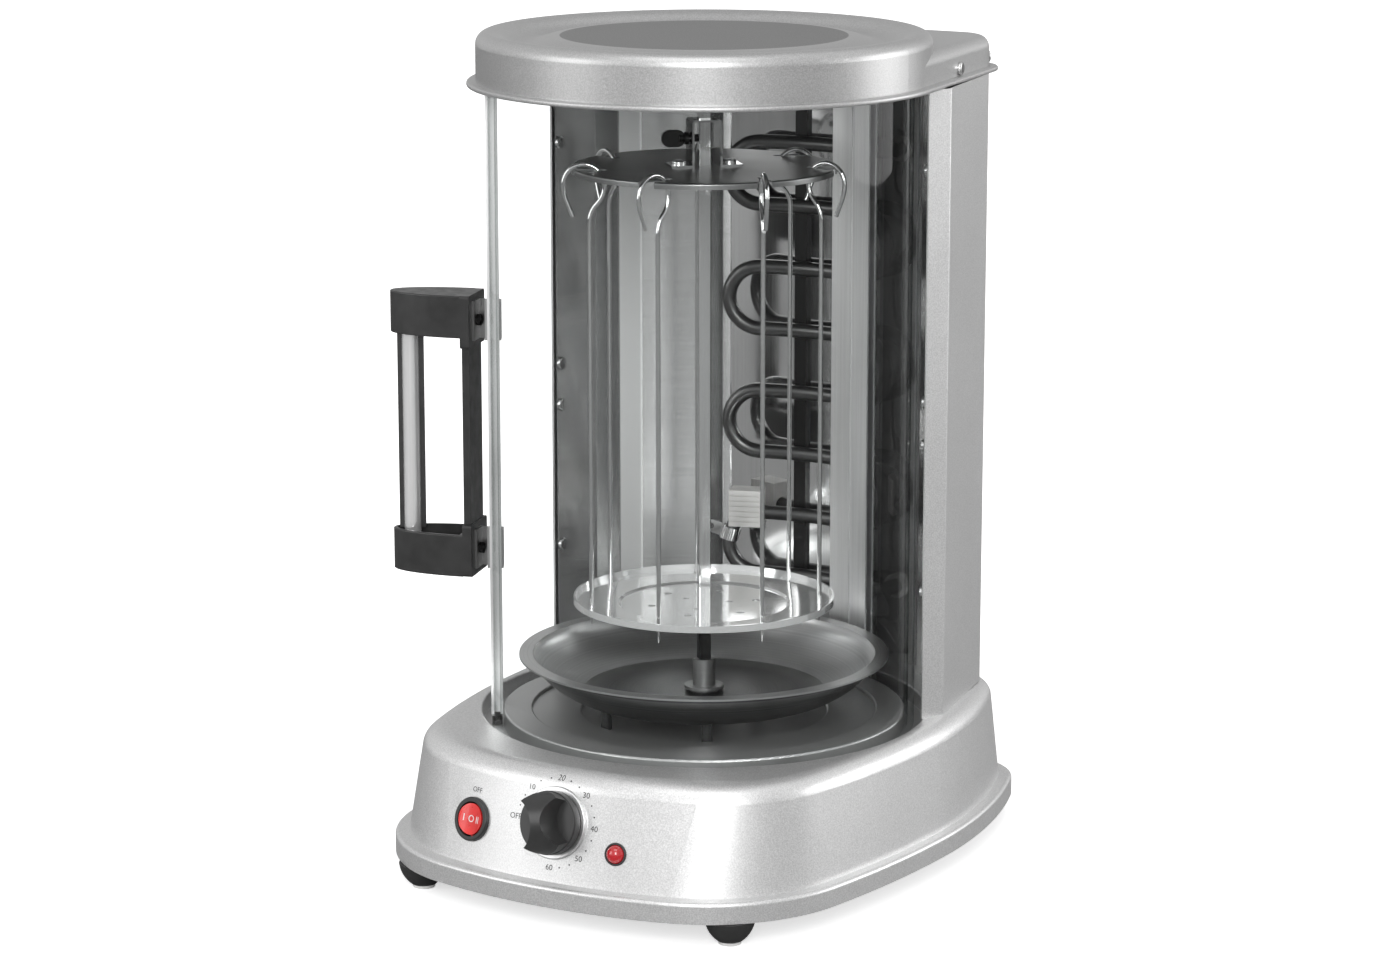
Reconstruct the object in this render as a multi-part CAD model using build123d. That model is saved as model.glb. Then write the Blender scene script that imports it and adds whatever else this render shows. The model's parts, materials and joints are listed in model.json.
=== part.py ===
from build123d import *
from math import asin, atan, atan2, cos, degrees, radians, sin, sqrt
import os

# Vertical rotisserie oven. Sizes are millimetres and degrees.
# Plan sizes are measured from the spit axis: front is -Y, the viewer's right is +X, the floor is Z = 0.

# Heights above the floor
PAD_TOP = 2.0
FLANGE_LOW = 13.5
FLANGE_HIGH = 24.5
DECK = 79.0
TRACK_FLOOR = 70.0
COVER_LOW = 413.0
COVER_TAIL_TOP = 432.0
COVER_TOP = 441.0

# Spit axis, measured from the middle of the whole outline
AXIS_X = 4.8
AXIS_Y = 9.1

# Base plan, at the bottom flange
FRONT_REACH = 167.5
BACK_REACH = 157.0
HALF_WIDTH = 141.0
WIDEST_Y = 20.0
FRONT_CORNER = (117.6, 141.6)
BACK_CORNER = (114.0, 150.5)
FRONT_ROUND = 85.0
BACK_ROUND = 38.0
SIDE_BOW = 0.26

# Base shell
FLANGE_STEP = 5.0
FLANGE_EDGE = 2.0
LEAN_FRONT = 17.0
LEAN_SIDE = 6.0
LEAN_BACK = 5.0
SHOULDER_ROUND = 9.0
SHOULDER_STEPS = 5
BASE_SHEET = 1.5
LIP_WIDTH = 11.0
LIP_LOW = 16.0

# Circles of the deck pressing, radii
TRACK_OUTER = 119.0
TRACK_INNER = 107.5
STEP_RADIUS = 92.0
RECESS_RADIUS = 66.0
STEP_DROP = 1.7
RECESS_DROP = 4.0
DRIVE_HOLE = 9.0
DECK_EDGE = 1.0

# Feet
FOOT_RADIUS = 13.0
FOOT_TOP = 13.2
FOOT_NECK = 8.0
FOOT_BULGE = (11.1, 7.2)
FOOT_SOLE = 6.65
FOOT_PLACES = ((92.0, -134.5), (-92.0, -134.5), (95.0, 112.0), (-95.0, 112.0))
PAD_RADIUS = 5.85
PAD_EDGE = 0.4
STEM_RADIUS = 3.0
STEM_HEIGHT = 5.0

# Controls on the front wall: across, height
KNOB_AT = (0.0, 53.5)
SWITCH_AT = (-52.0, 46.5)
LAMP_AT = (36.0, 42.5)
SEAT_DEPTH = 0.8
WALL_REACH = 12.0
DIAL_RING_RADIUS = 18.6
DIAL_RING_TOP = 1.6
DIAL_RING_EDGE = 0.6
KNOB_RADIUS = 16.3
KNOB_GAP = 0.5
KNOB_SKIRT = 7.8
KNOB_SKIRT_EDGE = 1.0
KNOB_SHOULDER = 8.4
KNOB_TOP = 19.5
KNOB_WAIST = 2.8
KNOB_FOOT = 6.0
KNOB_SCOOP = 15.6
KNOB_GRIP_EDGE = 0.5
KNOB_CAP = 4.0
KNOB_TURN = 12.4
TIMER_SHAFT = 3.0
TIMER_BUSH = 5.0
TIMER_CASE = (44.0, 36.0, 28.0)
TIMER_CASE_FRONT = -4.0
TIMER_CASE_ROUND = 3.0
TIMER_SHAFT_END = -13.5
SWITCH_RADIUS = 11.5
SWITCH_TOP = 2.0
SWITCH_EDGE = 0.8
SWITCH_CUP = 10.7
SWITCH_DEPTH = 20.0
SWITCH_POCKET = 9.0
POCKET_DEPTH = 7.0
ROCKER_RADIUS = 8.1
ROCKER_LOW = -3.6
ROCKER_TOP = 2.2
ROCKER_DISH = 26.0
ROCKER_SAG = 0.9
ROCKER_AXLE = 1.0
ROCKER_AXLE_Z = -2.0
ROCKER_AXLE_HALF = 10.5
LAMP_RADIUS = 5.9
LAMP_EDGE = 0.4
LAMP_LENS = 4.9
LAMP_STEM = 5.4
LAMP_STEM_LOW = -6.0
LAMP_TOP = 0.8
LENS_DOME = -0.6
LENS_LOW = -14.0

# Cord gland in the back wall: across, height
GLAND_AT = (60.0, 40.0)
GLAND_FLANGE = 9.0
GLAND_NECK = 6.5
GLAND_BORE = 3.6
GLAND_TOP = 4.0
GLAND_EDGE = 1.2

# Rear housing, plan points of the right-hand side
PANEL_SHEET = 1.0
PANEL_POINTS = ((114.8, 32.0), (120.5, 46.0), (106.5, 119.0), (94.0, 142.0), (78.0, 142.0))
LINER_SHEET = 0.8
LINER_POINTS = (
    (113.6, 35.0), (110.0, 70.0), (103.0, 83.0), (97.0, 97.0), (70.0, 116.0), (62.0, 130.0),
    (57.0, 130.0),
)
LINER_SCREW_INSET = 2.6
LINER_SCREW_LEVELS = (147.0, 226.0, 249.0, 371.0)
REFLECTOR_FRONT = 130.0
REFLECTOR_HALF = 67.0
BACK_PANEL_HALF = 90.0
BACK_PANEL_CORNER = 3.0
BACK_SCREW_X = 84.0
BACK_SCREW_LEVELS = (95.0, 193.0, 299.0, 397.0)
FOLD_RADIUS = 0.8
VENT_ROWS = 5
VENT_COLUMNS = 3
VENT_PITCH = (36.0, 9.0)
VENT_SIZE = (28.0, 3.2)
VENT_BANKS = (104.0, 356.0)

# Top cover: front circle, two rear corner circles and a pressed crown
COVER_RADIUS = 118.5
COVER_CORNER = (80.0, 123.0)
COVER_CORNER_RADIUS = 22.0
COVER_FLANGE = 5.0
COVER_FLANGE_TOP = 415.6
COVER_FLANGE_EDGE = 1.1
COVER_SHEET = 1.2
COVER_ROUND = 6.5
CROWN_RADIUS = 118.7
CROWN_TROUGH = (95.0, 434.5)
CROWN_PLATEAU = (75.0, 438.6)
COVER_SCREW_Z = 419.5
COVER_SCREW_Y = 79.0
CEILING = 424.0
CEILING_SHEET = 1.2
GUIDE_RADII = (106.2, 115.2)
GUIDE_SHEET = 1.0
GUIDE_LOW = 414.0
TAB_HALF = 8.0
SPIT_BUSH_RADIUS = 7.0
SPIT_BUSH_HOLE = 5.0

# Heating element, angles measured from the back
TUBE_RADIUS = 4.0
ELEMENT_RADIUS = 123.0
ELEMENT_HALF = 32.2
RUN_PITCH = 34.9
RUN_COUNT = 8
LOWEST_RUN = 123.5
TAIL_ANGLE = 18.0
TAIL_BEND = 9.0
TAIL_END = 139.0
BUSH_RADIUS = 7.0
BUSH_HEAD = 2.5
BUSH_NECK = 5.4
BUSH_DEPTH = 3.0
STRIP_SIDES = (-14.8, -7.6)
STRIP_RANGE = (100.0, 390.0)
BLOCK_ANGLE = -18.4
BLOCK_HALF = 9.3
BLOCK_RADII = (115.6, 129.0)
BLOCK_RANGE = (150.8, 171.5)
BLOCK_RIBS = 7
BLOCK_GROOVE = (0.7, 0.8)
BLOCK_PLAY = 0.4
CLIP_LIFT = 16.0
CLIP_GAP = 0.4
CLIP_SHEET = 1.2
CLIP_HALF = 3.6
CLIP_TAB = 9.0
CLIP_TAB_HOLE = 1.6

# Door, angles anticlockwise from +X
GLASS_INNER = 109.3
GLASS_OUTER = 112.7
GLASS_LOW = 72.0
GLASS_HIGH = 420.5
GLASS_START = -150.0
GLASS_ARC = 225.0
TRIM_INNER = 107.9
TRIM_OUTER = 114.1
TRIM_LOW = 75.0
TRIM_GAP = 0.03
LEADING_TRIM = (-1.0, 2.3)
TRAILING_TRIM = (-10.0, 4.5)
TRAILING_FOLD = -2.8
HEM_DEPTH = 0.45
HEM_GROOVE = 0.9
HEM_GROOVE_ARC = 0.4
SHOE_RADII = (108.3, 113.7)
SHOE_LOW = 70.35
SHOE_ARC = 5.0

# Handle, measured outward from the middle of the leading trim
HANDLE_RADIUS = 111.0
HANDLE_TURN = -14.0
HANDLE_LOW = 152.0
HANDLE_HIGH = 303.0
HANDLE_FOOT = 9.1
HANDLE_PAD = 14.1
HANDLE_NOSE = 56.5
CAP_HALF = 14.5
CAP_HEIGHT = 22.5
CAP_WALL = 2.2
CAP_EDGE = 0.7
PAD_HEIGHT = 28.0
HANDLE_PAD_ROUND = 1.5
BAR_THICKNESS = 4.0
BAR_HALF = 11.0
GRIP_AT = 46.0
GRIP_RADIUS = 4.6
GRIP_BACK_HALF = 6.9
GRIP_BACK_RANGE = (-6.5, 1.0)
GRIP_BACK_ROUND = 2.0
CLAMP_HEIGHT = 21.0
CLAMP_SHEET = 1.2
CLAMP_LEVELS = (HANDLE_LOW + PAD_HEIGHT / 2, HANDLE_HIGH - PAD_HEIGHT / 2)
CLAMP_WEB_Y = -2.9
CLAMP_TAB_Y = 8.0
CLAMP_SCREW_Y = 2.8
NUT_RADIUS = 3.0
NUT_HEIGHT = 2.4
NUT_THREAD_END = 0.4

# Spit assembly, drawn with its bracket facing the front and then turned
SPIT_TURN = 42.5
ROD_SIDE = 6.4
ROD_EDGE = 0.5
ROD_LOW = 94.0
ROD_HIGH = 405.0
PIN_RADIUS = 3.0
PIN_HIGH = 421.0
DISC_RADIUS = 69.7
DISC_TOP = 370.5
DISC_RIM = 3.2
DISC_SHEET = 0.9
DISC_EDGE = 1.1
PLATE_RIM = 140.0
PLATE_RIM_HEIGHT = 2.7
PLATE_FLOOR = 135.2
PLATE_STEP = (46.0, 136.2)
PLATE_STEP_SLOPE = 1.5
PLATE_RIM_WIDTH = 3.0
PLATE_SHEET = 0.9
PLATE_HOLES = ((6, 28.5, 2.2), (3, 14.0, 1.8))
PLATE_CLIP_HALF = 7.8
PLATE_CLIP_LOW = 128.0
BRACKET_HALF = 8.0
BRACKET_HIGH = 395.0
BRACKET_FOOT = 19.0
BRACKET_SCREW_X = 13.6
BRACKET_SHEET = 1.1
BRACKET_ROUND = 1.6
BRACKET_SCREW_LENGTH = 4.0
THUMB_Z = 385.0
THUMB_RADIUS = 2.0
THUMB_PADDLE_AT = 16.5
THUMB_PADDLE = (12.5, 2.0, 9.0)
THUMB_PADDLE_ROUND = 4.3
THUMB_COLLAR = (3.2, 8.6, 10.6)
THUMB_SHANK_END = 13.5
SHAFT_RADIUS = 4.0
SHAFT_TOP = 91.0
SHAFT_LOW = 58.5
SLEEVE_LOW = 78.5
SLEEVE_TOP = 105.0
SLEEVE_RADIUS = 6.0
SLEEVE_COLLAR = (10.5, 88.8, 90.4)

# Skewers: bent wire in a plane turned from the radial direction
SKEWER_COUNT = 7
SKEWER_RADIUS = 62.0
SKEWER_FIRST = -35.0
SKEWER_TWIST = -22.0
SKEWER_WIRE = 1.2
SKEWER_TIP = 128.0
SKEWER_POINT = 8.0
SKEWER_POINT_END = 0.2
SKEWER_HOLE = 1.7
BEND_LOW = 343.0
BEND_HIGH = 362.5
BEND_SHIFT = 8.0
HOOK_RADIUS = 10.8
HOOK_TAIL_RADIUS = 22.0
HOOK_TAIL_TURN = 22.0
HOOK_TAIL_LENGTH = 9.0
NOTCH_RADIUS = 2.1
NOTCH_FLARE = 6.5

# Drip pan and the studs it stands on
PAN_FLOOR = (66.0, 86.3)
PAN_DISH = (79.5, 92.4)
PAN_CREASE = (88.8, 100.6)
PAN_BAND = (91.2, 104.2)
PAN_NECK = (92.2, 107.8)
PAN_LIP = 99.0
PAN_SHEET = 1.0
PAN_INSET = 0.6
PAN_HOLE = 8.0
STUD_CIRCLE = 62.0
STUD_ANGLES = (-116.6, -58.8, 92.0)
STUD_RADIUS = 2.8
STUD_EDGE = 0.8

# Drive under the deck
GEARBOX_RADIUS = 31.0
GEARBOX_LOW = 52.0
GEARBOX_FLOOR = 6.0
MOTOR_RADIUS = 25.0
MOTOR_LOW = 27.0
MOTOR_EDGE = 2.0
DRIVE_BUSH_FLANGE = (13.0, 2.0)
TERMINAL_RANGE = ((22.0, 66.0), (104.0, 122.0), (16.0, 32.0))
TERMINAL_COUNT = 3
TERMINAL_BORE = (3.0, 8.0)

# Pan-head screws and fits
HEAD_RADIUS = 3.6
HEAD_HEIGHT = 2.0
HEAD_SLOT = (0.45, 0.7)
SHANK_RADIUS = 1.9
HOLE_RADIUS = 2.1
SCREW_LENGTH = 5.0
LINER_SCREW_LENGTH = 2.4
BASE_SCREWS = ((55.0, -154.5), (-55.0, -154.5), (133.5, 20.0), (-133.5, 20.0), (60.0, 148.0), (-60.0, 148.0))
RUNNING_GAP = 0.05
PRESS_GAP = 0.02
FREE_GAP = 0.1
CLEAR = 1.0

MIN_Z = (Align.CENTER, Align.CENTER, Align.MIN)


# Shapes that many pieces share


def rod(radius, low, high, x=0.0, y=0.0):
    return Pos(x, y, low) * Cylinder(radius, high - low, align=MIN_Z)


def pipe(outer, inner, low, high):
    return rod(outer, low, high) - rod(inner, low - CLEAR, high + CLEAR)


def block(x_range, y_range, z_range):
    ranges = (x_range, y_range, z_range)
    size = [high - low for low, high in ranges]
    middle = [(high + low) / 2 for low, high in ranges]
    return Pos(*middle) * Box(*size)


def turned(points, sweep_angle=360.0, start=0.0):
    """Revolve a closed outline of (radius, height) points about the spit axis."""
    outline = Plane.XZ * make_face(Polyline(*points, close=True))
    return Rot(0, 0, start) * revolve(outline, Axis.Z, sweep_angle)


def sector(radii, heights, start, end):
    """Upright ring segment about the spit axis between two angles."""
    inner, outer = radii
    low, high = heights
    return turned([(inner, low), (outer, low), (outer, high), (inner, high)], end - start, start)


def polar(radius, angle, z=0.0):
    return Vector(radius * cos(radians(angle)), radius * sin(radians(angle)), z)


def left_of(solid):
    return mirror(solid, Plane.YZ)


def group(pieces):
    return Compound([solid for piece in pieces for solid in piece.solids()])


def rounded_top(solid, radius):
    return fillet(solid.edges().group_by(Axis.Z)[-1], radius)


def s_curve(start, end):
    """Two equal arcs from one (radius, height) point to another, level at both ends."""
    width = end[0] - start[0]
    rise = end[1] - start[1]
    middle = ((start[0] + end[0]) / 2, (start[1] + end[1]) / 2)
    first = TangentArc(start, middle, tangent=(width, 0))
    return [first, TangentArc(middle, end, tangent=s_slope(width, rise))]


def s_slope(width, rise):
    """Direction of an S curve at its middle."""
    turn = 2 * atan2(abs(rise), abs(width))
    return (cos(turn) * (1 if width > 0 else -1), sin(turn) * (1 if rise > 0 else -1))


def folded_sheet(points, thickness, low, high):
    """Sheet standing along plan points, thickened to the left of their direction, with rounded folds."""
    points = [Vector(*point) for point in points]
    directions = [(b - a).normalized() for a, b in zip(points, points[1:])]
    normals = [Vector(-d.Y, d.X) for d in directions]
    shifted = [points[0] + normals[0] * thickness]
    for index in range(1, len(points) - 1):
        bisector = (normals[index - 1] + normals[index]).normalized()
        shifted.append(points[index] + bisector * (thickness / bisector.dot(normals[index])))
    shifted.append(points[-1] + normals[-1] * thickness)
    outline = make_face(Polyline(*[(p.X, p.Y) for p in points + shifted[::-1]], close=True))
    for index in range(1, len(points) - 1):
        turns_left = directions[index - 1].cross(directions[index]).Z > 0
        outer, inner = (points[index], shifted[index]) if turns_left else (shifted[index], points[index])
        for corner, radius in ((outer, FOLD_RADIUS + thickness), (inner, FOLD_RADIUS)):
            outline = fillet(outline.vertices().sort_by_distance(corner)[0], radius)
    return extrude(Pos(0, 0, low) * outline, high - low)


def pan_head_screw(length=SCREW_LENGTH):
    """Screw with its head standing up from Z = 0 and its shank below."""
    head = rounded_top(rod(HEAD_RADIUS, 0, HEAD_HEIGHT), HEAD_HEIGHT / 2)
    half, depth = HEAD_SLOT
    slot = block((-HEAD_RADIUS, HEAD_RADIUS), (-half, half), (HEAD_HEIGHT - depth, HEAD_HEIGHT + CLEAR))
    return head + rod(SHANK_RADIUS, -length, FREE_GAP) - slot


# Base


def base_outline(front, side, back, z):
    """Rounded D plan of the base, drawn in by the given amounts."""
    half = HALF_WIDTH - side
    corner_x = FRONT_CORNER[0] - side
    corner_y = front - FRONT_CORNER[1]
    rear_x = BACK_CORNER[0] - side
    rear_y = BACK_CORNER[1] - back
    front_side = (half - SIDE_BOW * (half - corner_x), (corner_y + WIDEST_Y) / 2)
    rear_side = (half - SIDE_BOW * (half - rear_x), (rear_y + WIDEST_Y) / 2)
    edges = [
        ThreePointArc((-corner_x, corner_y), (0, front - FRONT_REACH), (corner_x, corner_y)),
        ThreePointArc((corner_x, corner_y), front_side, (half, WIDEST_Y)),
        ThreePointArc((half, WIDEST_Y), rear_side, (rear_x, rear_y)),
        ThreePointArc((rear_x, rear_y), (0, BACK_REACH - back), (-rear_x, rear_y)),
        ThreePointArc((-rear_x, rear_y), (-rear_side[0], rear_side[1]), (-half, WIDEST_Y)),
        ThreePointArc((-half, WIDEST_Y), (-front_side[0], front_side[1]), (-corner_x, corner_y)),
    ]
    outline = make_face(edges)
    front_corners = outline.vertices().filter_by(lambda v: v.Y < corner_y + CLEAR)
    outline = fillet(front_corners, FRONT_ROUND - front)
    back_corners = outline.vertices().filter_by(lambda v: v.Y > rear_y - CLEAR)
    outline = fillet(back_corners, BACK_ROUND - back)
    return Pos(0, 0, z) * outline


def base_section(inset, z, rounding=0.0):
    """Plan of the leaning wall at a height, drawn in by a wall thickness and by the shoulder's rounding."""
    rise = (z - FLANGE_LOW) / (DECK - FLANGE_LOW)
    start = FLANGE_STEP + inset + rounding
    return base_outline(start + LEAN_FRONT * rise, start + LEAN_SIDE * rise, start + LEAN_BACK * rise, z)


def base_body(inset, low):
    """Solid of the base above a height: leaning wall, rounded shoulder and flat top."""
    top = DECK - inset
    rounding = SHOULDER_ROUND - inset
    wall = loft([base_section(inset, low), base_section(inset, top - rounding)], ruled=True)
    sections = []
    for step in range(SHOULDER_STEPS + 1):
        turn = radians(90.0 * step / SHOULDER_STEPS)
        height = top - rounding * (1 - sin(turn))
        sections.append(base_section(inset, height, rounding * (1 - cos(turn))))
    return wall + loft(sections)


def wall_place(across, height, reach, corner, lean, way):
    """Place on the front (way -1) or back (way 1) wall: local Z points out of it, local Y up along it."""
    rise = (height - FLANGE_LOW) / (DECK - FLANGE_LOW)
    half_chord = corner[0] - FLANGE_STEP - LEAN_SIDE * rise
    bow = reach - corner[1]
    radius = (half_chord ** 2 + bow ** 2) / (2 * bow)
    depth = reach - FLANGE_STEP - lean * rise - radius + sqrt(radius ** 2 - across ** 2)
    tilt = atan(lean / (DECK - FLANGE_LOW))
    outward = Vector(across / radius, way * sqrt(1 - (across / radius) ** 2))
    normal = outward * cos(tilt) + Vector(0, 0, sin(tilt))
    along = (-outward.Y, outward.X, 0)
    return Plane(origin=(across, way * depth, height), x_dir=along, z_dir=normal).location


def front_place(spot):
    return wall_place(*spot, FRONT_REACH, FRONT_CORNER, LEAN_FRONT, -1)


KNOB_PLACE = front_place(KNOB_AT)
SWITCH_PLACE = front_place(SWITCH_AT)
LAMP_PLACE = front_place(LAMP_AT)
GLAND_PLACE = wall_place(*GLAND_AT, BACK_REACH, BACK_CORNER, LEAN_BACK, 1)


def deck_pressing():
    """Sheet of the deck and what lies above it: rings that follow the track, the step and the recess."""
    sheet = BASE_SHEET
    step = DECK - STEP_DROP - sheet
    recess = DECK - RECESS_DROP - sheet
    recess_edge = RECESS_RADIUS + sheet
    track = (TRACK_INNER - sheet, TRACK_OUTER + sheet)
    track_low = TRACK_FLOOR - sheet
    return turned([
        (0, recess), (recess_edge, recess), (recess_edge, step), (track[0], step),
        (track[0], track_low), (track[1], track_low), (track[1], DECK), (0, DECK),
    ])


def deck_hollows():
    """What the track, the step, the recess and the drive hole take out of the deck."""
    above = DECK + CLEAR
    track = sector((TRACK_INNER, TRACK_OUTER), (TRACK_FLOOR, above), 0, 360)
    step = rod(STEP_RADIUS, DECK - STEP_DROP, above)
    recess = rod(RECESS_RADIUS, DECK - RECESS_DROP, above)
    hollows = track + step + recess + rod(DRIVE_HOLE, TRACK_FLOOR, above)
    outer_rims = ((TRACK_OUTER, DECK), (STEP_RADIUS, DECK), (RECESS_RADIUS, DECK - STEP_DROP))
    for radius, height in outer_rims:
        hollows += rim_relief(radius, height, 1)
    return hollows + rim_relief(TRACK_INNER, DECK, -1)


def rim_relief(radius, z, way):
    """Ring that rounds off a rim of the deck, outside (way 1) or inside (way -1) a radius."""
    edge = DECK_EDGE
    middle = (radius + way * edge * (1 - cos(radians(45))), z - edge * (1 - sin(radians(45))))
    outline = Plane.XZ * make_face([
        Line((radius, z), (radius + way * edge, z)),
        ThreePointArc((radius + way * edge, z), middle, (radius, z - edge)),
        Line((radius, z - edge), (radius, z)),
    ])
    return revolve(outline, Axis.Z)


def base_housing():
    flange = rounded_top(extrude(base_outline(0, 0, 0, FLANGE_LOW), FLANGE_HIGH - FLANGE_LOW), FLANGE_EDGE)
    sheet = BASE_SHEET
    inner_lip = sheet + LIP_WIDTH
    below_lip = extrude(base_outline(sheet, sheet, sheet, FLANGE_LOW - CLEAR), LIP_LOW - FLANGE_LOW + CLEAR)
    lip_opening = extrude(base_outline(inner_lip, inner_lip, inner_lip, LIP_LOW - CLEAR), sheet + 2 * CLEAR)
    hollow = base_body(sheet, LIP_LOW + sheet) - deck_pressing()
    shell = base_body(0, FLANGE_LOW) + flange - hollow - below_lip - lip_opening - deck_hollows()
    seats = (
        (KNOB_PLACE, DIAL_RING_RADIUS, TIMER_BUSH), (SWITCH_PLACE, SWITCH_RADIUS, SWITCH_CUP),
        (LAMP_PLACE, LAMP_RADIUS, LAMP_STEM), (GLAND_PLACE, GLAND_FLANGE, GLAND_NECK),
    )
    for place, seat, hole in seats:
        shell -= place * rod(seat, -SEAT_DEPTH, WALL_REACH)
        shell -= place * rod(hole + FREE_GAP, -WALL_REACH, WALL_REACH)
    for x, y in FOOT_PLACES:
        shell -= rod(STEM_RADIUS + FREE_GAP, FLANGE_LOW, LIP_LOW + STEM_HEIGHT, x, y)
    for x, y in BASE_SCREWS:
        shell -= rod(SHANK_RADIUS + FREE_GAP, FLANGE_LOW, LIP_LOW + STEM_HEIGHT, x, y)
    return shell


def bottom_plate():
    inset = BASE_SHEET + RUNNING_GAP
    plate = extrude(base_outline(inset, inset, inset, LIP_LOW - BASE_SHEET), BASE_SHEET)
    for x, y in FOOT_PLACES:
        plate -= rod(STEM_RADIUS + FREE_GAP, 0, DECK, x, y)
    for x, y in BASE_SCREWS:
        plate -= rod(HOLE_RADIUS, 0, DECK, x, y)
    return plate


def feet():
    """Domed feet, each with a stem that passes through the bottom plate."""
    top = LIP_LOW - BASE_SHEET
    dome = Plane.XZ * make_face([
        Line((0, PAD_TOP), (FOOT_SOLE, PAD_TOP)),
        ThreePointArc((FOOT_SOLE, PAD_TOP), FOOT_BULGE, (FOOT_RADIUS, FOOT_TOP)),
        Line((FOOT_RADIUS, FOOT_TOP), (FOOT_NECK, FOOT_TOP)),
        Line((FOOT_NECK, FOOT_TOP), (FOOT_NECK, top)),
        Line((FOOT_NECK, top), (STEM_RADIUS, top)),
        Line((STEM_RADIUS, top), (STEM_RADIUS, top + STEM_HEIGHT)),
        Line((STEM_RADIUS, top + STEM_HEIGHT), (0, top + STEM_HEIGHT)),
        Line((0, top + STEM_HEIGHT), (0, PAD_TOP)),
    ])
    foot = revolve(dome, Axis.Z)
    return group(Pos(x, y, 0) * foot for x, y in FOOT_PLACES)


def foot_pads():
    pad = rod(PAD_RADIUS, 0, PAD_TOP)
    pad = fillet(pad.edges().group_by(Axis.Z)[0], PAD_EDGE)
    return group(Pos(x, y, 0) * pad for x, y in FOOT_PLACES)


# Controls


def dial_ring():
    ring = pipe(DIAL_RING_RADIUS - FREE_GAP, TIMER_BUSH + FREE_GAP, -SEAT_DEPTH, DIAL_RING_TOP)
    outer_rim = ring.edges().group_by(Axis.Z)[-1].sort_by(SortBy.LENGTH)[-1]
    return KNOB_PLACE * fillet(outer_rim, DIAL_RING_EDGE)


def timer_body():
    """Clockwork case behind the wall, with the bush that the shaft turns in."""
    width, height, depth = TIMER_CASE
    back = TIMER_CASE_FRONT - depth
    case = block((-width / 2, width / 2), (-height / 2, height / 2), (back, TIMER_CASE_FRONT))
    case = fillet(case.edges().filter_by(Axis.Z), TIMER_CASE_ROUND)
    bush = rod(TIMER_BUSH, TIMER_CASE_FRONT, DIAL_RING_TOP)
    return KNOB_PLACE * (case + bush - rod(TIMER_SHAFT + RUNNING_GAP, -depth / 2, KNOB_TOP))


def timer_shaft():
    return KNOB_PLACE * rod(TIMER_SHAFT, TIMER_SHAFT_END, KNOB_TOP - KNOB_CAP)


def knob_scoop():
    """Tapered hollow for a finger, on the right of the grip."""
    middle = KNOB_WAIST + KNOB_SCOOP
    height = KNOB_TOP - KNOB_SKIRT
    return Pos(middle, 0, KNOB_SKIRT) * Cone(middle - KNOB_FOOT, KNOB_SCOOP, height, align=MIN_Z)


def timer_knob():
    """Round skirt with an arched grip that a scoop on each side draws in to a waist."""
    low = DIAL_RING_TOP + KNOB_GAP
    skirt = rounded_top(rod(KNOB_RADIUS, low, KNOB_SKIRT), KNOB_SKIRT_EDGE)
    arch = Plane.YZ * make_face([
        ThreePointArc((-KNOB_RADIUS, KNOB_SHOULDER), (0, KNOB_TOP), (KNOB_RADIUS, KNOB_SHOULDER)),
        Polyline(
            (KNOB_RADIUS, KNOB_SHOULDER), (KNOB_RADIUS, low + CLEAR), (-KNOB_RADIUS, low + CLEAR),
            (-KNOB_RADIUS, KNOB_SHOULDER),
        ),
    ])
    grip = extrude(arch, KNOB_RADIUS, both=True) & rod(KNOB_RADIUS - KNOB_GRIP_EDGE, low, KNOB_TOP)
    scoop = knob_scoop()
    grip = grip - scoop - left_of(scoop)
    bore = rod(TIMER_SHAFT + PRESS_GAP, 0, KNOB_TOP - KNOB_CAP + PRESS_GAP)
    return KNOB_PLACE * Rot(0, 0, KNOB_TURN) * (skirt + grip - bore)


def switch_axle(radius, half_length):
    return Pos(0, 0, ROCKER_AXLE_Z) * Rot(90, 0, 0) * Cylinder(radius, 2 * half_length)


def switch_body():
    """Round bezel with a cup behind it that holds the rocker."""
    bezel = rounded_top(rod(SWITCH_RADIUS - FREE_GAP, -SEAT_DEPTH, SWITCH_TOP), SWITCH_EDGE)
    body = bezel + rod(SWITCH_CUP, -SWITCH_DEPTH, 0) - rod(SWITCH_POCKET, -POCKET_DEPTH, SWITCH_TOP + CLEAR)
    return SWITCH_PLACE * (body - switch_axle(ROCKER_AXLE + RUNNING_GAP, SWITCH_CUP + CLEAR))


def rocker():
    """Round rocker, hollowed across the middle so that each half can be pressed."""
    cap = rod(ROCKER_RADIUS, ROCKER_LOW, ROCKER_TOP)
    dish_middle = ROCKER_TOP + ROCKER_DISH - ROCKER_SAG
    dish = Pos(0, 0, dish_middle) * Rot(90, 0, 0) * Cylinder(ROCKER_DISH, 4 * ROCKER_RADIUS)
    return SWITCH_PLACE * (cap - dish + switch_axle(ROCKER_AXLE, ROCKER_AXLE_HALF))


def lamp_bezel():
    bezel = rounded_top(rod(LAMP_RADIUS - FREE_GAP, -SEAT_DEPTH, LAMP_TOP), LAMP_EDGE)
    bore = rod(LAMP_LENS, LAMP_STEM_LOW - CLEAR, LAMP_TOP + CLEAR)
    return LAMP_PLACE * (bezel + rod(LAMP_STEM, LAMP_STEM_LOW, 0) - bore)


def lamp_lens():
    """Domed lens with its bulb holder behind the wall."""
    radius = LAMP_LENS - RUNNING_GAP
    dome = Pos(0, 0, LENS_DOME) * Sphere(radius) & rod(radius, LENS_DOME, 2 * radius)
    return LAMP_PLACE * (dome + rod(radius, LENS_LOW, LENS_DOME))


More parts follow.
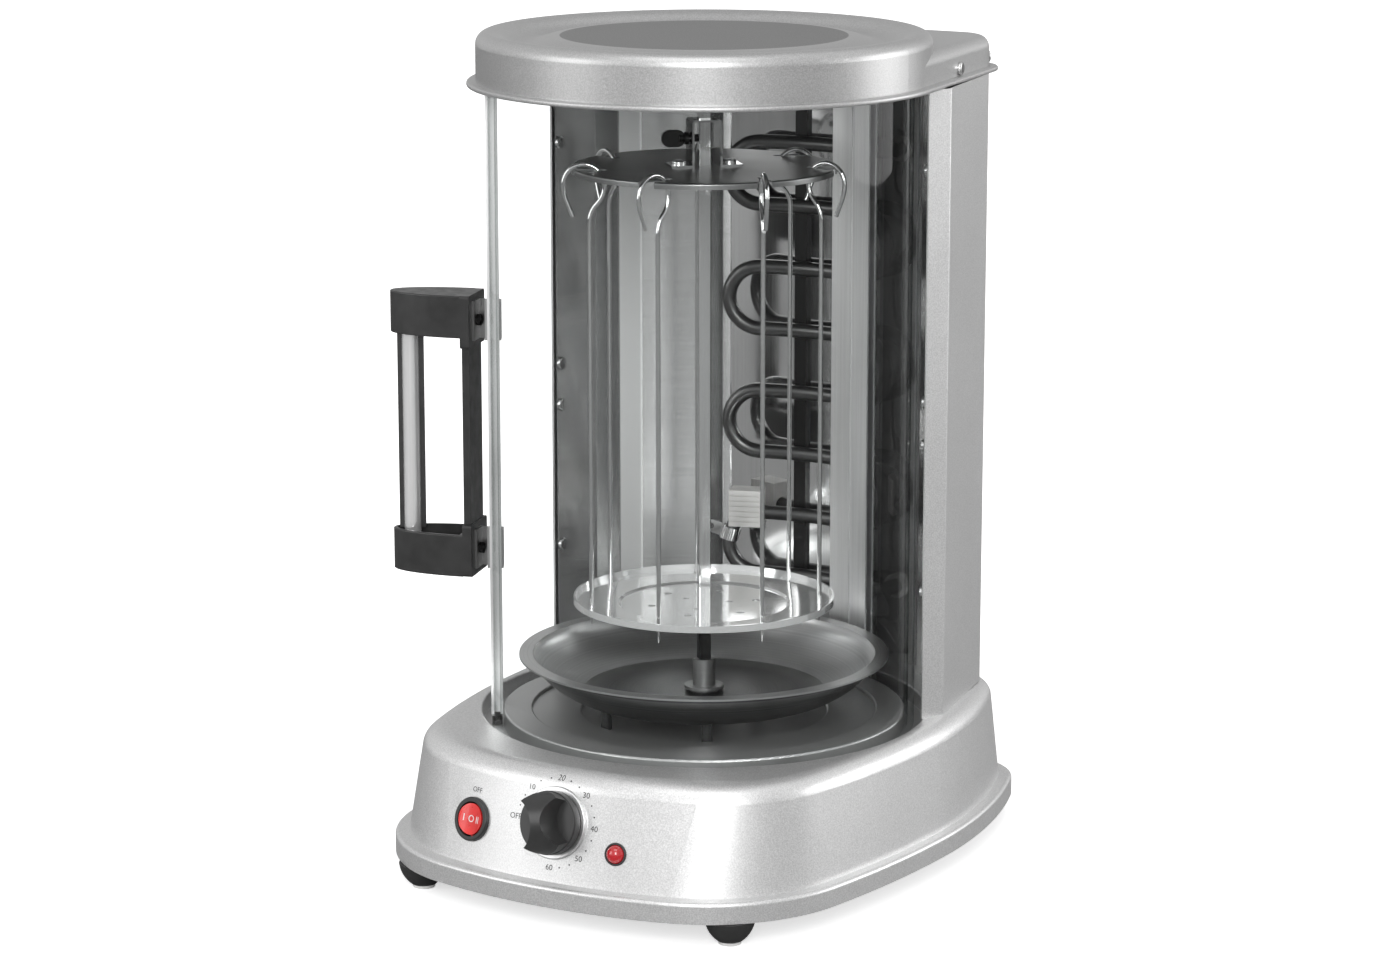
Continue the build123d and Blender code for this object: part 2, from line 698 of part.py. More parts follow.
def cord_gland():
    collar = rounded_top(rod(GLAND_FLANGE - FREE_GAP, -SEAT_DEPTH, GLAND_TOP), GLAND_EDGE)
    bore = rod(GLAND_BORE, -2 * WALL_REACH, GLAND_TOP + CLEAR)
    return GLAND_PLACE * (collar + rod(GLAND_NECK, -WALL_REACH, 0) - bore)


# Drive under the deck


def gearbox_case():
    top = DECK - RECESS_DROP - BASE_SHEET
    case = rod(GEARBOX_RADIUS, GEARBOX_LOW, top)
    return case - rod(SHAFT_RADIUS + RUNNING_GAP, GEARBOX_LOW + GEARBOX_FLOOR, top + CLEAR)


def gear_motor():
    can = rod(MOTOR_RADIUS, MOTOR_LOW, GEARBOX_LOW)
    return fillet(can.edges().group_by(Axis.Z)[0], MOTOR_EDGE)


def drive_bush():
    seat = DECK - RECESS_DROP
    flange, height = DRIVE_BUSH_FLANGE
    bush = rod(DRIVE_HOLE - PRESS_GAP, seat - BASE_SHEET, seat) + rod(flange, seat, seat + height)
    return bush - rod(SHAFT_RADIUS + RUNNING_GAP, 0, DECK)


def terminal_block():
    x_range, y_range, z_range = TERMINAL_RANGE
    body = block(x_range, y_range, z_range)
    pitch = (x_range[1] - x_range[0]) / TERMINAL_COUNT
    bore, depth = TERMINAL_BORE
    for index in range(TERMINAL_COUNT):
        x = x_range[0] + pitch * (index + 0.5)
        body -= rod(bore, z_range[1] - depth, z_range[1] + CLEAR, x, sum(y_range) / 2)
    return body


# Rear housing


def back_screw_places():
    back = PANEL_POINTS[-1][1] + PANEL_SHEET
    spots = [(x, z) for x in (BACK_SCREW_X, -BACK_SCREW_X) for z in BACK_SCREW_LEVELS]
    return [Pos(x, back, z) * Rot(-90, 0, 0) for x, z in spots]


def side_panel():
    """Outer side panel on the right, with a flared front strip and a rear tab."""
    panel = folded_sheet(PANEL_POINTS, PANEL_SHEET, DECK, COVER_LOW)
    for place in back_screw_places():
        panel -= place * rod(HOLE_RADIUS, -SCREW_LENGTH, SCREW_LENGTH)
    return panel


def back_panel():
    """Flat back plate with two banks of vent slots."""
    front = PANEL_POINTS[-1][1]
    panel = block((-BACK_PANEL_HALF, BACK_PANEL_HALF), (front, front + PANEL_SHEET), (DECK, COVER_LOW))
    panel = fillet(panel.edges().filter_by(Axis.Y), BACK_PANEL_CORNER)
    for place in back_screw_places():
        panel -= place * rod(HOLE_RADIUS, -SCREW_LENGTH, SCREW_LENGTH)
    vent = extrude(SlotOverall(*VENT_SIZE), SCREW_LENGTH, both=True)
    for bank in VENT_BANKS:
        for row in range(VENT_ROWS):
            for column in range(VENT_COLUMNS):
                x = (column - (VENT_COLUMNS - 1) / 2) * VENT_PITCH[0]
                panel -= Pos(x, front, bank + row * VENT_PITCH[1]) * Rot(-90, 0, 0) * vent
    return panel


def liner_screw_places():
    """Places on the inner face of the right-hand liner, facing the spit."""
    start = Vector(*LINER_POINTS[0])
    along = (Vector(*LINER_POINTS[1]) - start).normalized()
    inward = Vector(-along.Y, along.X)
    spot = start + along * LINER_SCREW_INSET + inward * LINER_SHEET
    levels = LINER_SCREW_LEVELS
    return [Plane(origin=(spot.X, spot.Y, z), x_dir=(0, 0, 1), z_dir=inward).location for z in levels]


def side_liner():
    liner = folded_sheet(LINER_POINTS, LINER_SHEET, DECK, COVER_LOW)
    for place in liner_screw_places():
        liner -= place * rod(HOLE_RADIUS, -SCREW_LENGTH, SCREW_LENGTH)
    return liner


def back_reflector():
    back = REFLECTOR_FRONT + LINER_SHEET
    plate = block((-REFLECTOR_HALF, REFLECTOR_HALF), (REFLECTOR_FRONT, back), (DECK, COVER_LOW))
    for place in tail_places():
        plate -= place * rod(BUSH_NECK + FREE_GAP, -SCREW_LENGTH, SCREW_LENGTH)
    return plate


# Top cover


def cover_turn():
    """Direction, from +X, that the straight side of the cover faces."""
    span = sqrt(COVER_CORNER[0] ** 2 + COVER_CORNER[1] ** 2)
    return degrees(atan2(COVER_CORNER[1], COVER_CORNER[0]) - atan2(
        sqrt(span ** 2 - (COVER_RADIUS - COVER_CORNER_RADIUS) ** 2), COVER_RADIUS - COVER_CORNER_RADIUS
    ))


def cover_outline(grow, z):
    """Plan of the cover: a large front circle drawn back to two small corners."""
    turn = cover_turn()
    corner = Vector(*COVER_CORNER)
    small = COVER_CORNER_RADIUS + grow
    side_front = polar(COVER_RADIUS + grow, turn)
    side_back = corner + polar(small, turn)
    corner_middle = corner + polar(small, (turn + 90) / 2)
    corner_end = corner + polar(small, 90)

    def left(point):
        return Vector(-point.X, point.Y)

    outline = make_face([
        ThreePointArc(left(side_front), (0, -COVER_RADIUS - grow), side_front),
        Line(side_front, side_back),
        ThreePointArc(side_back, corner_middle, corner_end),
        Line(corner_end, left(corner_end)),
        ThreePointArc(left(corner_end), left(corner_middle), left(side_back)),
        Line(left(side_back), left(side_front)),
    ])
    return Pos(0, 0, z) * outline


def cover_solid(inset, low):
    """Filled cover, drawn in by a sheet thickness: tail, and a crown with a trough round its plateau."""
    tail = extrude(cover_outline(-inset, low), COVER_TAIL_TOP - inset - low)
    tail = rounded_top(tail, COVER_ROUND - inset)
    radius = CROWN_RADIUS - inset
    top = COVER_TOP - inset
    rounding = COVER_ROUND - inset
    crest = (radius - rounding, top)
    trough = (CROWN_TROUGH[0], CROWN_TROUGH[1] - inset)
    plateau = (CROWN_PLATEAU[0], CROWN_PLATEAU[1] - inset)
    corner = (radius - rounding * (1 - cos(radians(45))), top - rounding * (1 - sin(radians(45))))
    crown = Plane.XZ * make_face([
        Line((0, low), (radius, low)),
        Line((radius, low), (radius, top - rounding)),
        ThreePointArc((radius, top - rounding), corner, crest),
        *s_curve(crest, trough),
        *s_curve(trough, plateau),
        Line(plateau, (0, plateau[1])),
        Line((0, plateau[1]), (0, low)),
    ])
    return tail + revolve(crown, Axis.Z)


def cover_screw_places():
    """Places on the side walls and rear corners of the cover, facing outward."""
    turn = cover_turn()
    side = polar(COVER_RADIUS, turn)
    along = polar(1, turn + 90)
    side = side + along * ((COVER_SCREW_Y - side.Y) / along.Y)
    corner_turn = (turn + 90) / 2
    corner = Vector(*COVER_CORNER) + polar(COVER_CORNER_RADIUS, corner_turn)
    places = []
    for spot, facing in ((side, turn), (corner, corner_turn)):
        origin = (spot.X, spot.Y, COVER_SCREW_Z)
        places.append(Plane(origin=origin, x_dir=(0, 0, 1), z_dir=polar(1, facing)).location)
        left = Plane(origin=(-spot.X, spot.Y, COVER_SCREW_Z), x_dir=(0, 0, 1), z_dir=polar(1, 180 - facing))
        places.append(left.location)
    return places


def top_cover():
    flange = extrude(cover_outline(COVER_FLANGE, COVER_LOW), COVER_FLANGE_TOP - COVER_LOW)
    rims = flange.edges().group_by(Axis.Z)
    flange = fillet(rims[-1] + rims[0], COVER_FLANGE_EDGE)
    cover = cover_solid(0, COVER_LOW) + flange - cover_solid(COVER_SHEET, COVER_LOW - CLEAR)
    for place in cover_screw_places():
        cover -= place * rod(HOLE_RADIUS, -SCREW_LENGTH, SCREW_LENGTH)
    return cover


def ceiling_plate():
    """Plate inside the cover, with two rings that guide the glass and tabs for the cover's screws."""
    plate = extrude(cover_outline(-COVER_SHEET - RUNNING_GAP, CEILING), CEILING_SHEET)
    for radius in GUIDE_RADII:
        plate += pipe(radius + GUIDE_SHEET, radius, GUIDE_LOW, CEILING)
    tab_top = CEILING - COVER_SCREW_Z
    tab_low = GUIDE_LOW - COVER_SCREW_Z
    front = -COVER_SHEET - RUNNING_GAP
    for place in cover_screw_places()[:2]:
        plate += place * block((tab_low, tab_top), (-TAB_HALF, TAB_HALF), (front - GUIDE_SHEET, front))
    for place in cover_screw_places():
        plate -= place * rod(HOLE_RADIUS, -SCREW_LENGTH, SCREW_LENGTH)
    return plate - rod(SPIT_BUSH_HOLE, CEILING - CLEAR, CEILING + 2 * CEILING_SHEET)


def spit_bush():
    """Bush under the ceiling that steadies the top of the spit."""
    bush = rod(SPIT_BUSH_RADIUS, GUIDE_LOW, CEILING)
    bush += rod(SPIT_BUSH_HOLE - PRESS_GAP, CEILING, CEILING + CEILING_SHEET)
    return bush - rod(PIN_RADIUS + RUNNING_GAP, GUIDE_LOW - CLEAR, PIN_HIGH + CLEAR)


# Heating element


def run_height(index):
    return LOWEST_RUN + RUN_PITCH * index


def element_point(angle, z):
    """Point on the element's cylinder, at an angle from the back, positive to the right."""
    return Vector(ELEMENT_RADIUS * sin(radians(angle)), ELEMENT_RADIUS * cos(radians(angle)), z)


def tail_finish(z):
    """Where a tail of the element has turned to face the back."""
    centre = element_point(TAIL_ANGLE, z) * (1 + TAIL_BEND / ELEMENT_RADIUS)
    return Vector(centre.X + TAIL_BEND, centre.Y, z)


def tail_places():
    """Where the tails pass through the reflector, facing the spit."""
    ends = (run_height(0), run_height(RUN_COUNT - 1))
    return [Pos(tail_finish(z).X, REFLECTOR_FRONT, z) * Rot(90, 0, 0) for z in ends]


def element_tail(z):
    """Bend and straight end of the tube, from the end of a run to the back."""
    start = element_point(TAIL_ANGLE, z)
    radial = polar(1, 90 - TAIL_ANGLE)
    centre = start + radial * TAIL_BEND
    finish = Vector(centre.X + TAIL_BEND, centre.Y, z)
    toward = ((start - centre).normalized() + (finish - centre).normalized()).normalized()
    end = Vector(finish.X, TAIL_END, z)
    return [ThreePointArc(start, centre + toward * TAIL_BEND, finish), Line(finish, end)]


def element_edge():
    """Angle from the back at which the runs turn into their bends."""
    return degrees(asin(ELEMENT_HALF / ELEMENT_RADIUS))


def element_tube(radius):
    """Rod along the centre line of the heating element."""
    edge = element_edge()
    bend = RUN_PITCH / 2
    path = element_tail(run_height(0)) + element_tail(run_height(RUN_COUNT - 1))
    for index in range(RUN_COUNT):
        z = run_height(index)
        right = TAIL_ANGLE if index in (0, RUN_COUNT - 1) else edge
        run = [element_point(angle, z) for angle in (-edge, (right - edge) / 2, right)]
        path.append(ThreePointArc(*run))
        if index < RUN_COUNT - 1:
            side = 1 if index % 2 else -1
            start = element_point(side * edge, z)
            outward = polar(1, -side * edge) * side
            top = start + Vector(0, 0, RUN_PITCH)
            path.append(ThreePointArc(start, start + outward * bend + Vector(0, 0, bend), top))
    wire = Wire(path)
    section = Plane(origin=wire.position_at(0), z_dir=wire.tangent_at(0)) * Circle(radius)
    return sweep(section, path=wire)


def heating_element():
    """One tube in runs that follow the back of the oven, joined by half-round bends."""
    return element_tube(TUBE_RADIUS)


def element_bushes():
    bush = rod(BUSH_RADIUS, 0, BUSH_HEAD) + rod(BUSH_NECK, -BUSH_DEPTH, 0)
    bush -= rod(TUBE_RADIUS + FREE_GAP, -SCREW_LENGTH, SCREW_LENGTH)
    return group(place * bush for place in tail_places())


def element_support():
    """Upright strip on the reflector that the runs bear on."""
    front = ELEMENT_RADIUS + TUBE_RADIUS + FREE_GAP
    return block(STRIP_SIDES, (front, REFLECTOR_FRONT), STRIP_RANGE)


def on_element(angle):
    """Place on the element's cylinder: local X along the run, local Y away from the spit."""
    return Rot(0, 0, -angle) * Pos(0, ELEMENT_RADIUS, 0)


def ceramic_block():
    """Insulating block where the second run bends down, with level grooves in its face."""
    near, far = [radius - ELEMENT_RADIUS for radius in BLOCK_RADII]
    low, high = BLOCK_RANGE
    sides = (-BLOCK_HALF - CLEAR, BLOCK_HALF + CLEAR)
    body = block((-BLOCK_HALF, BLOCK_HALF), (near, far), BLOCK_RANGE)
    width, depth = BLOCK_GROOVE
    pitch = (high - low) / BLOCK_RIBS
    for index in range(1, BLOCK_RIBS):
        z = low + index * pitch
        body -= block(sides, (near - CLEAR, near + depth), (z - width / 2, z + width / 2))
    return on_element(BLOCK_ANGLE) * body - element_tube(TUBE_RADIUS + BLOCK_PLAY)


def element_clip():
    """Metal band round the lowest bend, under the block, with a tab to the left."""
    edge = element_edge()
    bend = RUN_PITCH / 2
    centre = element_point(-edge, run_height(0) + bend)
    outward = polar(-1, edge)
    lift = radians(CLIP_LIFT)
    up = Vector(0, 0, 1)
    arm = outward * cos(lift) + up * sin(lift)
    along = up * cos(lift) - outward * sin(lift)
    inner = TUBE_RADIUS + CLIP_GAP
    outer = inner + CLIP_SHEET
    sheet = (-CLIP_SHEET / 2, CLIP_SHEET / 2)
    band = rod(outer, -CLIP_HALF, CLIP_HALF)
    band += block((0, outer + CLIP_TAB), sheet, (-CLIP_HALF, CLIP_HALF))
    band -= rod(inner, -2 * CLIP_HALF, 2 * CLIP_HALF)
    hole = Rot(90, 0, 0) * rod(CLIP_TAB_HOLE, -outer, outer)
    band -= Pos(outer + CLIP_TAB - 2 * CLIP_TAB_HOLE, 0, 0) * hole
    return Plane(origin=centre + arm * bend, x_dir=arm, z_dir=along) * band


# Door


def door_glass():
    heights = (GLASS_LOW, GLASS_HIGH)
    return sector((GLASS_INNER, GLASS_OUTER), heights, GLASS_START, GLASS_START + GLASS_ARC)


def glass_slot(low):
    """Room for the glass in a trim or shoe."""
    radii = (GLASS_INNER - TRIM_GAP, GLASS_OUTER + TRIM_GAP)
    margin = degrees(TRIM_GAP / GLASS_OUTER)
    return sector(radii, (low, GLASS_HIGH + CLEAR), GLASS_START - margin, GLASS_START + GLASS_ARC + margin)


def leading_trim():
    start, end = [GLASS_START + offset for offset in LEADING_TRIM]
    return sector((TRIM_INNER, TRIM_OUTER), (TRIM_LOW, GLASS_HIGH), start, end) - glass_slot(GLASS_LOW)


def trailing_trim():
    """Wide channel on the far edge of the glass, with a hem along its inner face."""
    glass_end = GLASS_START + GLASS_ARC
    start, end = [glass_end + offset for offset in TRAILING_TRIM]
    fold = glass_end + TRAILING_FOLD
    heights = (TRIM_LOW, GLASS_HIGH)
    trim = sector((TRIM_INNER, TRIM_OUTER), heights, start, end) - glass_slot(GLASS_LOW)
    relief = (TRIM_LOW - CLEAR, GLASS_HIGH + CLEAR)
    inside = TRIM_INNER - CLEAR
    trim -= sector((inside, TRIM_INNER + HEM_DEPTH), relief, start - CLEAR, fold)
    return trim - sector((inside, TRIM_INNER + HEM_GROOVE), relief, fold - HEM_GROOVE_ARC, fold)


def door_shoes():
    """Sliding shoes under the two trims and under the middle of the glass."""
    glass_end = GLASS_START + GLASS_ARC
    starts = (
        GLASS_START + LEADING_TRIM[0], GLASS_START + GLASS_ARC / 2, glass_end + TRAILING_TRIM[1] - SHOE_ARC,
    )
    slot = glass_slot(GLASS_LOW)
    heights = (SHOE_LOW, TRIM_LOW)
    return group(sector(SHOE_RADII, heights, start, start + SHOE_ARC) - slot for start in starts)


# Handle


HANDLE_PLACE = Rot(0, 0, GLASS_START) * Pos(HANDLE_RADIUS, 0, 0) * Rot(0, 0, HANDLE_TURN)


def handle_frame():
    """Two pads joined by an upright bar."""
    pads = [
        block((HANDLE_FOOT, HANDLE_PAD), (-CAP_HALF, CAP_HALF), heights)
        for heights in ((HANDLE_LOW, HANDLE_LOW + PAD_HEIGHT), (HANDLE_HIGH - PAD_HEIGHT, HANDLE_HIGH))
    ]
    pads = [fillet(pad.edges().filter_by(Axis.X), HANDLE_PAD_ROUND) for pad in pads]
    bar_range = (HANDLE_LOW + PAD_HEIGHT - CLEAR, HANDLE_HIGH - PAD_HEIGHT + CLEAR)
    bar = block((HANDLE_PAD - BAR_THICKNESS, HANDLE_PAD), (-BAR_HALF, BAR_HALF), bar_range)
    frame = pads[0] + pads[1] + bar
    hole = Rot(0, 90, 0) * rod(SHANK_RADIUS + FREE_GAP, -HANDLE_PAD, CLEAR)
    for z in CLAMP_LEVELS:
        frame -= Pos(HANDLE_PAD, CLAMP_SCREW_Y, z) * hole
    return HANDLE_PLACE * frame


def half_ellipse(length, half_width, low, high):
    whole = extrude(Pos(HANDLE_PAD, 0, low) * Ellipse(length, half_width), high - low)
    return whole & block((HANDLE_PAD, HANDLE_NOSE), (-CAP_HALF, CAP_HALF), (low, high))


def handle_cap():
    """Lower end cap: half-ellipse plan, hollow and open upward, with a socket for the grip."""
    length = HANDLE_NOSE - HANDLE_PAD
    top = HANDLE_LOW + CAP_HEIGHT
    cap = half_ellipse(length, CAP_HALF, HANDLE_LOW, top)
    cap = fillet(cap.edges().filter_by(GeomType.ELLIPSE), CAP_EDGE)
    hollow = half_ellipse(length - CAP_WALL, CAP_HALF - CAP_WALL, HANDLE_LOW + CAP_WALL, top + CLEAR)
    behind_wall = (HANDLE_PAD + CAP_WALL, HANDLE_NOSE)
    return cap - (hollow & block(behind_wall, (-CAP_HALF, CAP_HALF), (HANDLE_LOW, top + CLEAR)))


def handle_caps():
    lower = handle_cap()
    middle = Plane.XY.offset((HANDLE_LOW + HANDLE_HIGH) / 2)
    return group([HANDLE_PLACE * lower, HANDLE_PLACE * mirror(lower, middle)])


def grip_tube():
    return HANDLE_PLACE * rod(GRIP_RADIUS, HANDLE_LOW + CAP_WALL, HANDLE_HIGH - CAP_WALL, GRIP_AT)


def grip_back():
    """Channel that backs the grip tube between the caps, turned square to the door's edge."""
    low = HANDLE_LOW + CAP_HEIGHT
    high = HANDLE_HIGH - CAP_HEIGHT
    channel = block((-GRIP_BACK_HALF, GRIP_BACK_HALF), GRIP_BACK_RANGE, (low, high))
    back_edges = channel.edges().filter_by(Axis.Z).sort_by(Axis.Y)[:2]
    channel = fillet(back_edges, GRIP_BACK_ROUND)
    channel -= rod(GRIP_RADIUS + RUNNING_GAP, low - CLEAR, high + CLEAR)
    return HANDLE_PLACE * Pos(GRIP_AT, 0, 0) * Rot(0, 0, -HANDLE_TURN) * channel


def handle_clamps():
    """Folded clips that grip the leading trim and carry the handle's pads."""
    start, end = [GLASS_START + offset for offset in LEADING_TRIM]
    sheet_angle = degrees(CLAMP_SHEET / TRIM_OUTER)
    gap_angle = degrees(RUNNING_GAP / TRIM_OUTER)
    clamps = []
    for z in CLAMP_LEVELS:
        heights = (z - CLAMP_HEIGHT / 2, z + CLAMP_HEIGHT / 2)
        room = (heights[0] - CLEAR, heights[1] + CLEAR)
        radii = (TRIM_INNER - CLAMP_SHEET, TRIM_OUTER + CLAMP_SHEET)
        hook = sector(radii, heights, start - sheet_angle - gap_angle, end)
        web = block((CLAMP_SHEET, HANDLE_FOOT), (CLAMP_WEB_Y, CLAMP_WEB_Y + CLAMP_SHEET), heights)
        tab = block((HANDLE_FOOT - CLAMP_SHEET, HANDLE_FOOT), (CLAMP_WEB_Y, CLAMP_TAB_Y), heights)
        clamp = hook + HANDLE_PLACE * (web + tab)
        trim_radii = (TRIM_INNER - RUNNING_GAP, TRIM_OUTER + RUNNING_GAP)
        clamp -= sector(trim_radii, room, start - gap_angle, end + CLEAR)
        bore = rod(SHANK_RADIUS + FREE_GAP, -HANDLE_FOOT, HANDLE_FOOT)
        clamps.append(clamp - HANDLE_PLACE * Pos(HANDLE_FOOT, CLAMP_SCREW_Y, z) * Rot(0, 90, 0) * bore)
    return group(clamps)


# Spit


def on_spit(solid):
    return Rot(0, 0, SPIT_TURN) * solid


def square_hole(low, high):
    half = ROD_SIDE / 2 + FREE_GAP
    return block((-half, half), (-half, half), (low, high))


def drive_shaft():
    return rod(SHAFT_RADIUS, SHAFT_LOW, SHAFT_TOP)


def drive_sleeve():
    """Socket on the drive shaft: round bore below, square bore above for the spit."""
    collar_radius, collar_low, collar_top = SLEEVE_COLLAR
    sleeve = rod(SLEEVE_RADIUS, SLEEVE_LOW, SLEEVE_TOP) + rod(collar_radius, collar_low, collar_top)
    sleeve -= rod(SHAFT_RADIUS + PRESS_GAP, SLEEVE_LOW - CLEAR, SHAFT_TOP + PRESS_GAP)
    return on_spit(sleeve - square_hole(ROD_LOW - PRESS_GAP, SLEEVE_TOP + CLEAR))


def spit_rod():
    half = ROD_SIDE / 2
    bar = block((-half, half), (-half, half), (ROD_LOW, ROD_HIGH))
    bar = chamfer(bar.edges().filter_by(Axis.Z), ROD_EDGE)
    return on_spit(bar + rod(PIN_RADIUS, ROD_HIGH - CLEAR, PIN_HIGH))


def skewer_angles():
    return [SKEWER_FIRST - 90 + index * 360 / SKEWER_COUNT for index in range(SKEWER_COUNT)]


def lower_plate():
    """Dished plate that holds the skewers' points."""
    sheet = PLATE_SHEET
    rim = PLATE_RIM
    low_rim = rim - PLATE_RIM_HEIGHT
    step_radius, step_z = PLATE_STEP
    slope = PLATE_STEP_SLOPE
    rim_foot = DISC_RADIUS - PLATE_RIM_WIDTH
    plate = turned([
        (0, PLATE_FLOOR - sheet), (step_radius, PLATE_FLOOR - sheet), (step_radius + slope, step_z - sheet),
        (rim_foot, low_rim - sheet), (DISC_RADIUS, low_rim - sheet), (DISC_RADIUS, rim),
        (DISC_RADIUS - sheet, rim), (DISC_RADIUS - sheet, low_rim), (rim_foot, low_rim),
        (step_radius, step_z), (step_radius - slope, PLATE_FLOOR), (0, PLATE_FLOOR),
    ])
    through = (PLATE_CLIP_LOW, PLATE_RIM + CLEAR)
    for angle in skewer_angles():
        spot = polar(SKEWER_RADIUS, angle)
        plate -= rod(SKEWER_HOLE, *through, spot.X, spot.Y)
    for count, circle, radius in PLATE_HOLES:
        for index in range(count):
            spot = polar(circle, 360 * index / count)
            plate -= rod(radius, *through, spot.X, spot.Y)
    return on_spit(plate - square_hole(*through))


def plate_clip():
    """Channel under the lower plate that locks it to the rod."""
    half = PLATE_CLIP_HALF
    sheet = BRACKET_SHEET
    top = PLATE_FLOOR - PLATE_SHEET
    channel = block((-half, half), (-half, half), (PLATE_CLIP_LOW, top))
    inside = (-half + sheet, half - sheet)
    channel -= block(inside, (-half - CLEAR, half + CLEAR), (PLATE_CLIP_LOW + sheet, top - sheet))
    return on_spit(channel - square_hole(PLATE_CLIP_LOW - CLEAR, top + CLEAR))


def skewer_place(angle):
    """Frame of a skewer: origin on its shaft, local X outward in the plane that it is bent in."""
    return Rot(0, 0, angle) * Pos(SKEWER_RADIUS, 0, 0) * Rot(0, 0, SKEWER_TWIST)


def top_disc():
    """Disc with a turned-down rim and a flared notch for each skewer."""
    low = DISC_TOP - DISC_RIM
    disc = rounded_top(rod(DISC_RADIUS, low, DISC_TOP), DISC_EDGE)
    disc -= rod(DISC_RADIUS - DISC_SHEET, low - CLEAR, DISC_TOP - DISC_SHEET)
    reach = 2 * HOOK_RADIUS
    flare_start = SKEWER_WIRE - BEND_SHIFT + 4 * SKEWER_WIRE
    outline = make_face(Polyline(
        (-BEND_SHIFT, -NOTCH_RADIUS), (flare_start, -NOTCH_RADIUS), (reach, -NOTCH_FLARE),
        (reach, NOTCH_FLARE), (flare_start, NOTCH_RADIUS), (-BEND_SHIFT, NOTCH_RADIUS), close=True,
    ))
    outline += Pos(-BEND_SHIFT, 0) * Circle(NOTCH_RADIUS)
    notch = extrude(Pos(0, 0, low - CLEAR) * outline, 2 * DISC_RIM)
    for angle in skewer_angles():
        disc -= skewer_place(angle) * notch
    for x in (-BRACKET_SCREW_X, BRACKET_SCREW_X):
        disc -= rod(HOLE_RADIUS, low - CLEAR, DISC_TOP + CLEAR, x)
    return on_spit(disc - square_hole(low - CLEAR, DISC_TOP + CLEAR))


def disc_bracket():
    """Inverted channel on the disc, with foot tabs and a hole for the thumbscrew."""
    half = BRACKET_HALF
    sheet = BRACKET_SHEET
    depth = (-half, half)
    bracket = block((-half, half), depth, (DISC_TOP, BRACKET_HIGH))
    bracket = fillet(bracket.edges().filter_by(Axis.Y).group_by(Axis.Z)[-1], BRACKET_ROUND)
    inside = (-half + sheet, half - sheet)
    bracket -= block(inside, (-half - CLEAR, half + CLEAR), (DISC_TOP - CLEAR, BRACKET_HIGH - sheet))
    for side in (-1, 1):
        tab = sorted((side * (half - sheet), side * BRACKET_FOOT))
        bracket += block(tab, depth, (DISC_TOP, DISC_TOP + sheet))
        bracket -= rod(HOLE_RADIUS, DISC_TOP - CLEAR, DISC_TOP + 2 * sheet, side * BRACKET_SCREW_X)
    thread = rod(THUMB_RADIUS + RUNNING_GAP, half - 2 * sheet, half + CLEAR)
    thread = Pos(0, 0, THUMB_Z) * Rot(0, -90, 0) * thread
    return on_spit(bracket - thread - square_hole(BRACKET_HIGH - 2 * sheet, BRACKET_HIGH + CLEAR))


def bracket_screws():
    top = DISC_TOP + BRACKET_SHEET
    screw = pan_head_screw(BRACKET_SCREW_LENGTH)
    return group(on_spit(Pos(x, 0, top) * screw) for x in (-BRACKET_SCREW_X, BRACKET_SCREW_X))


def thumbscrew():
    """Spade-headed screw that clamps the disc to the rod."""
    shank = rod(THUMB_RADIUS, ROD_SIDE / 2 + FREE_GAP, THUMB_SHANK_END)
    length, thickness, width = THUMB_PADDLE
    paddle = Pos(0, 0, THUMB_PADDLE_AT) * Box(width, thickness, length)
    paddle = fillet(paddle.edges().filter_by(Axis.Y), THUMB_PADDLE_ROUND)
    collar = rod(*THUMB_COLLAR)
    return on_spit(Pos(0, 0, THUMB_Z) * Rot(0, -90, 0) * (shank + collar + paddle))


def skewer(index):
    """Pointed wire, drawn in near the top and hooked over the rim of the disc."""
    rise = BEND_HIGH - BEND_LOW
    turn = 2 * atan2(BEND_SHIFT, rise)
    bend_middle = (-BEND_SHIFT / 2, (BEND_LOW + BEND_HIGH) / 2)
    hook_start = (-BEND_SHIFT, BEND_HIGH)
    hook_top = (HOOK_RADIUS - BEND_SHIFT, BEND_HIGH + HOOK_RADIUS)
    hook_end = (2 * HOOK_RADIUS - BEND_SHIFT, BEND_HIGH)
    tail = radians(HOOK_TAIL_TURN)
    tail_end = (hook_end[0] - HOOK_TAIL_RADIUS * (1 - cos(tail)), BEND_HIGH - HOOK_TAIL_RADIUS * sin(tail))
    wire_end = (tail_end[0] - HOOK_TAIL_LENGTH * sin(tail), tail_end[1] - HOOK_TAIL_LENGTH * cos(tail))
    shaft_low = SKEWER_TIP + SKEWER_POINT
    path = Plane.XZ * Wire([
        Line((0, shaft_low), (0, BEND_LOW)),
        TangentArc((0, BEND_LOW), bend_middle, tangent=(0, 1)),
        TangentArc(bend_middle, hook_start, tangent=(-sin(turn), cos(turn))),
        ThreePointArc(hook_start, hook_top, hook_end),
        TangentArc(hook_end, tail_end, tangent=(0, -1)),
        Line(tail_end, wire_end),
    ])
    wire = sweep(Pos(0, 0, shaft_low) * Circle(SKEWER_WIRE), path=path)
    point = Pos(0, 0, SKEWER_TIP) * Cone(SKEWER_POINT_END, SKEWER_WIRE, SKEWER_POINT, align=MIN_Z)
    return on_spit(skewer_place(skewer_angles()[index]) * (wire + point))


# Drip pan


def pan_side(inward, up):
    """Edges of the pan's section from its centre hole to its lip, moved by a sheet thickness."""
    spots = (PAN_FLOOR, PAN_DISH, PAN_CREASE, PAN_BAND, PAN_NECK)
    floor, dish, crease, band, neck = [(radius - inward, z + up) for radius, z in spots]
    return [
        Line((PAN_HOLE, floor[1]), floor),
        ThreePointArc(floor, dish, crease),
        ThreePointArc(crease, band, neck),
        Line(neck, (PAN_LIP, neck[1])),
    ]


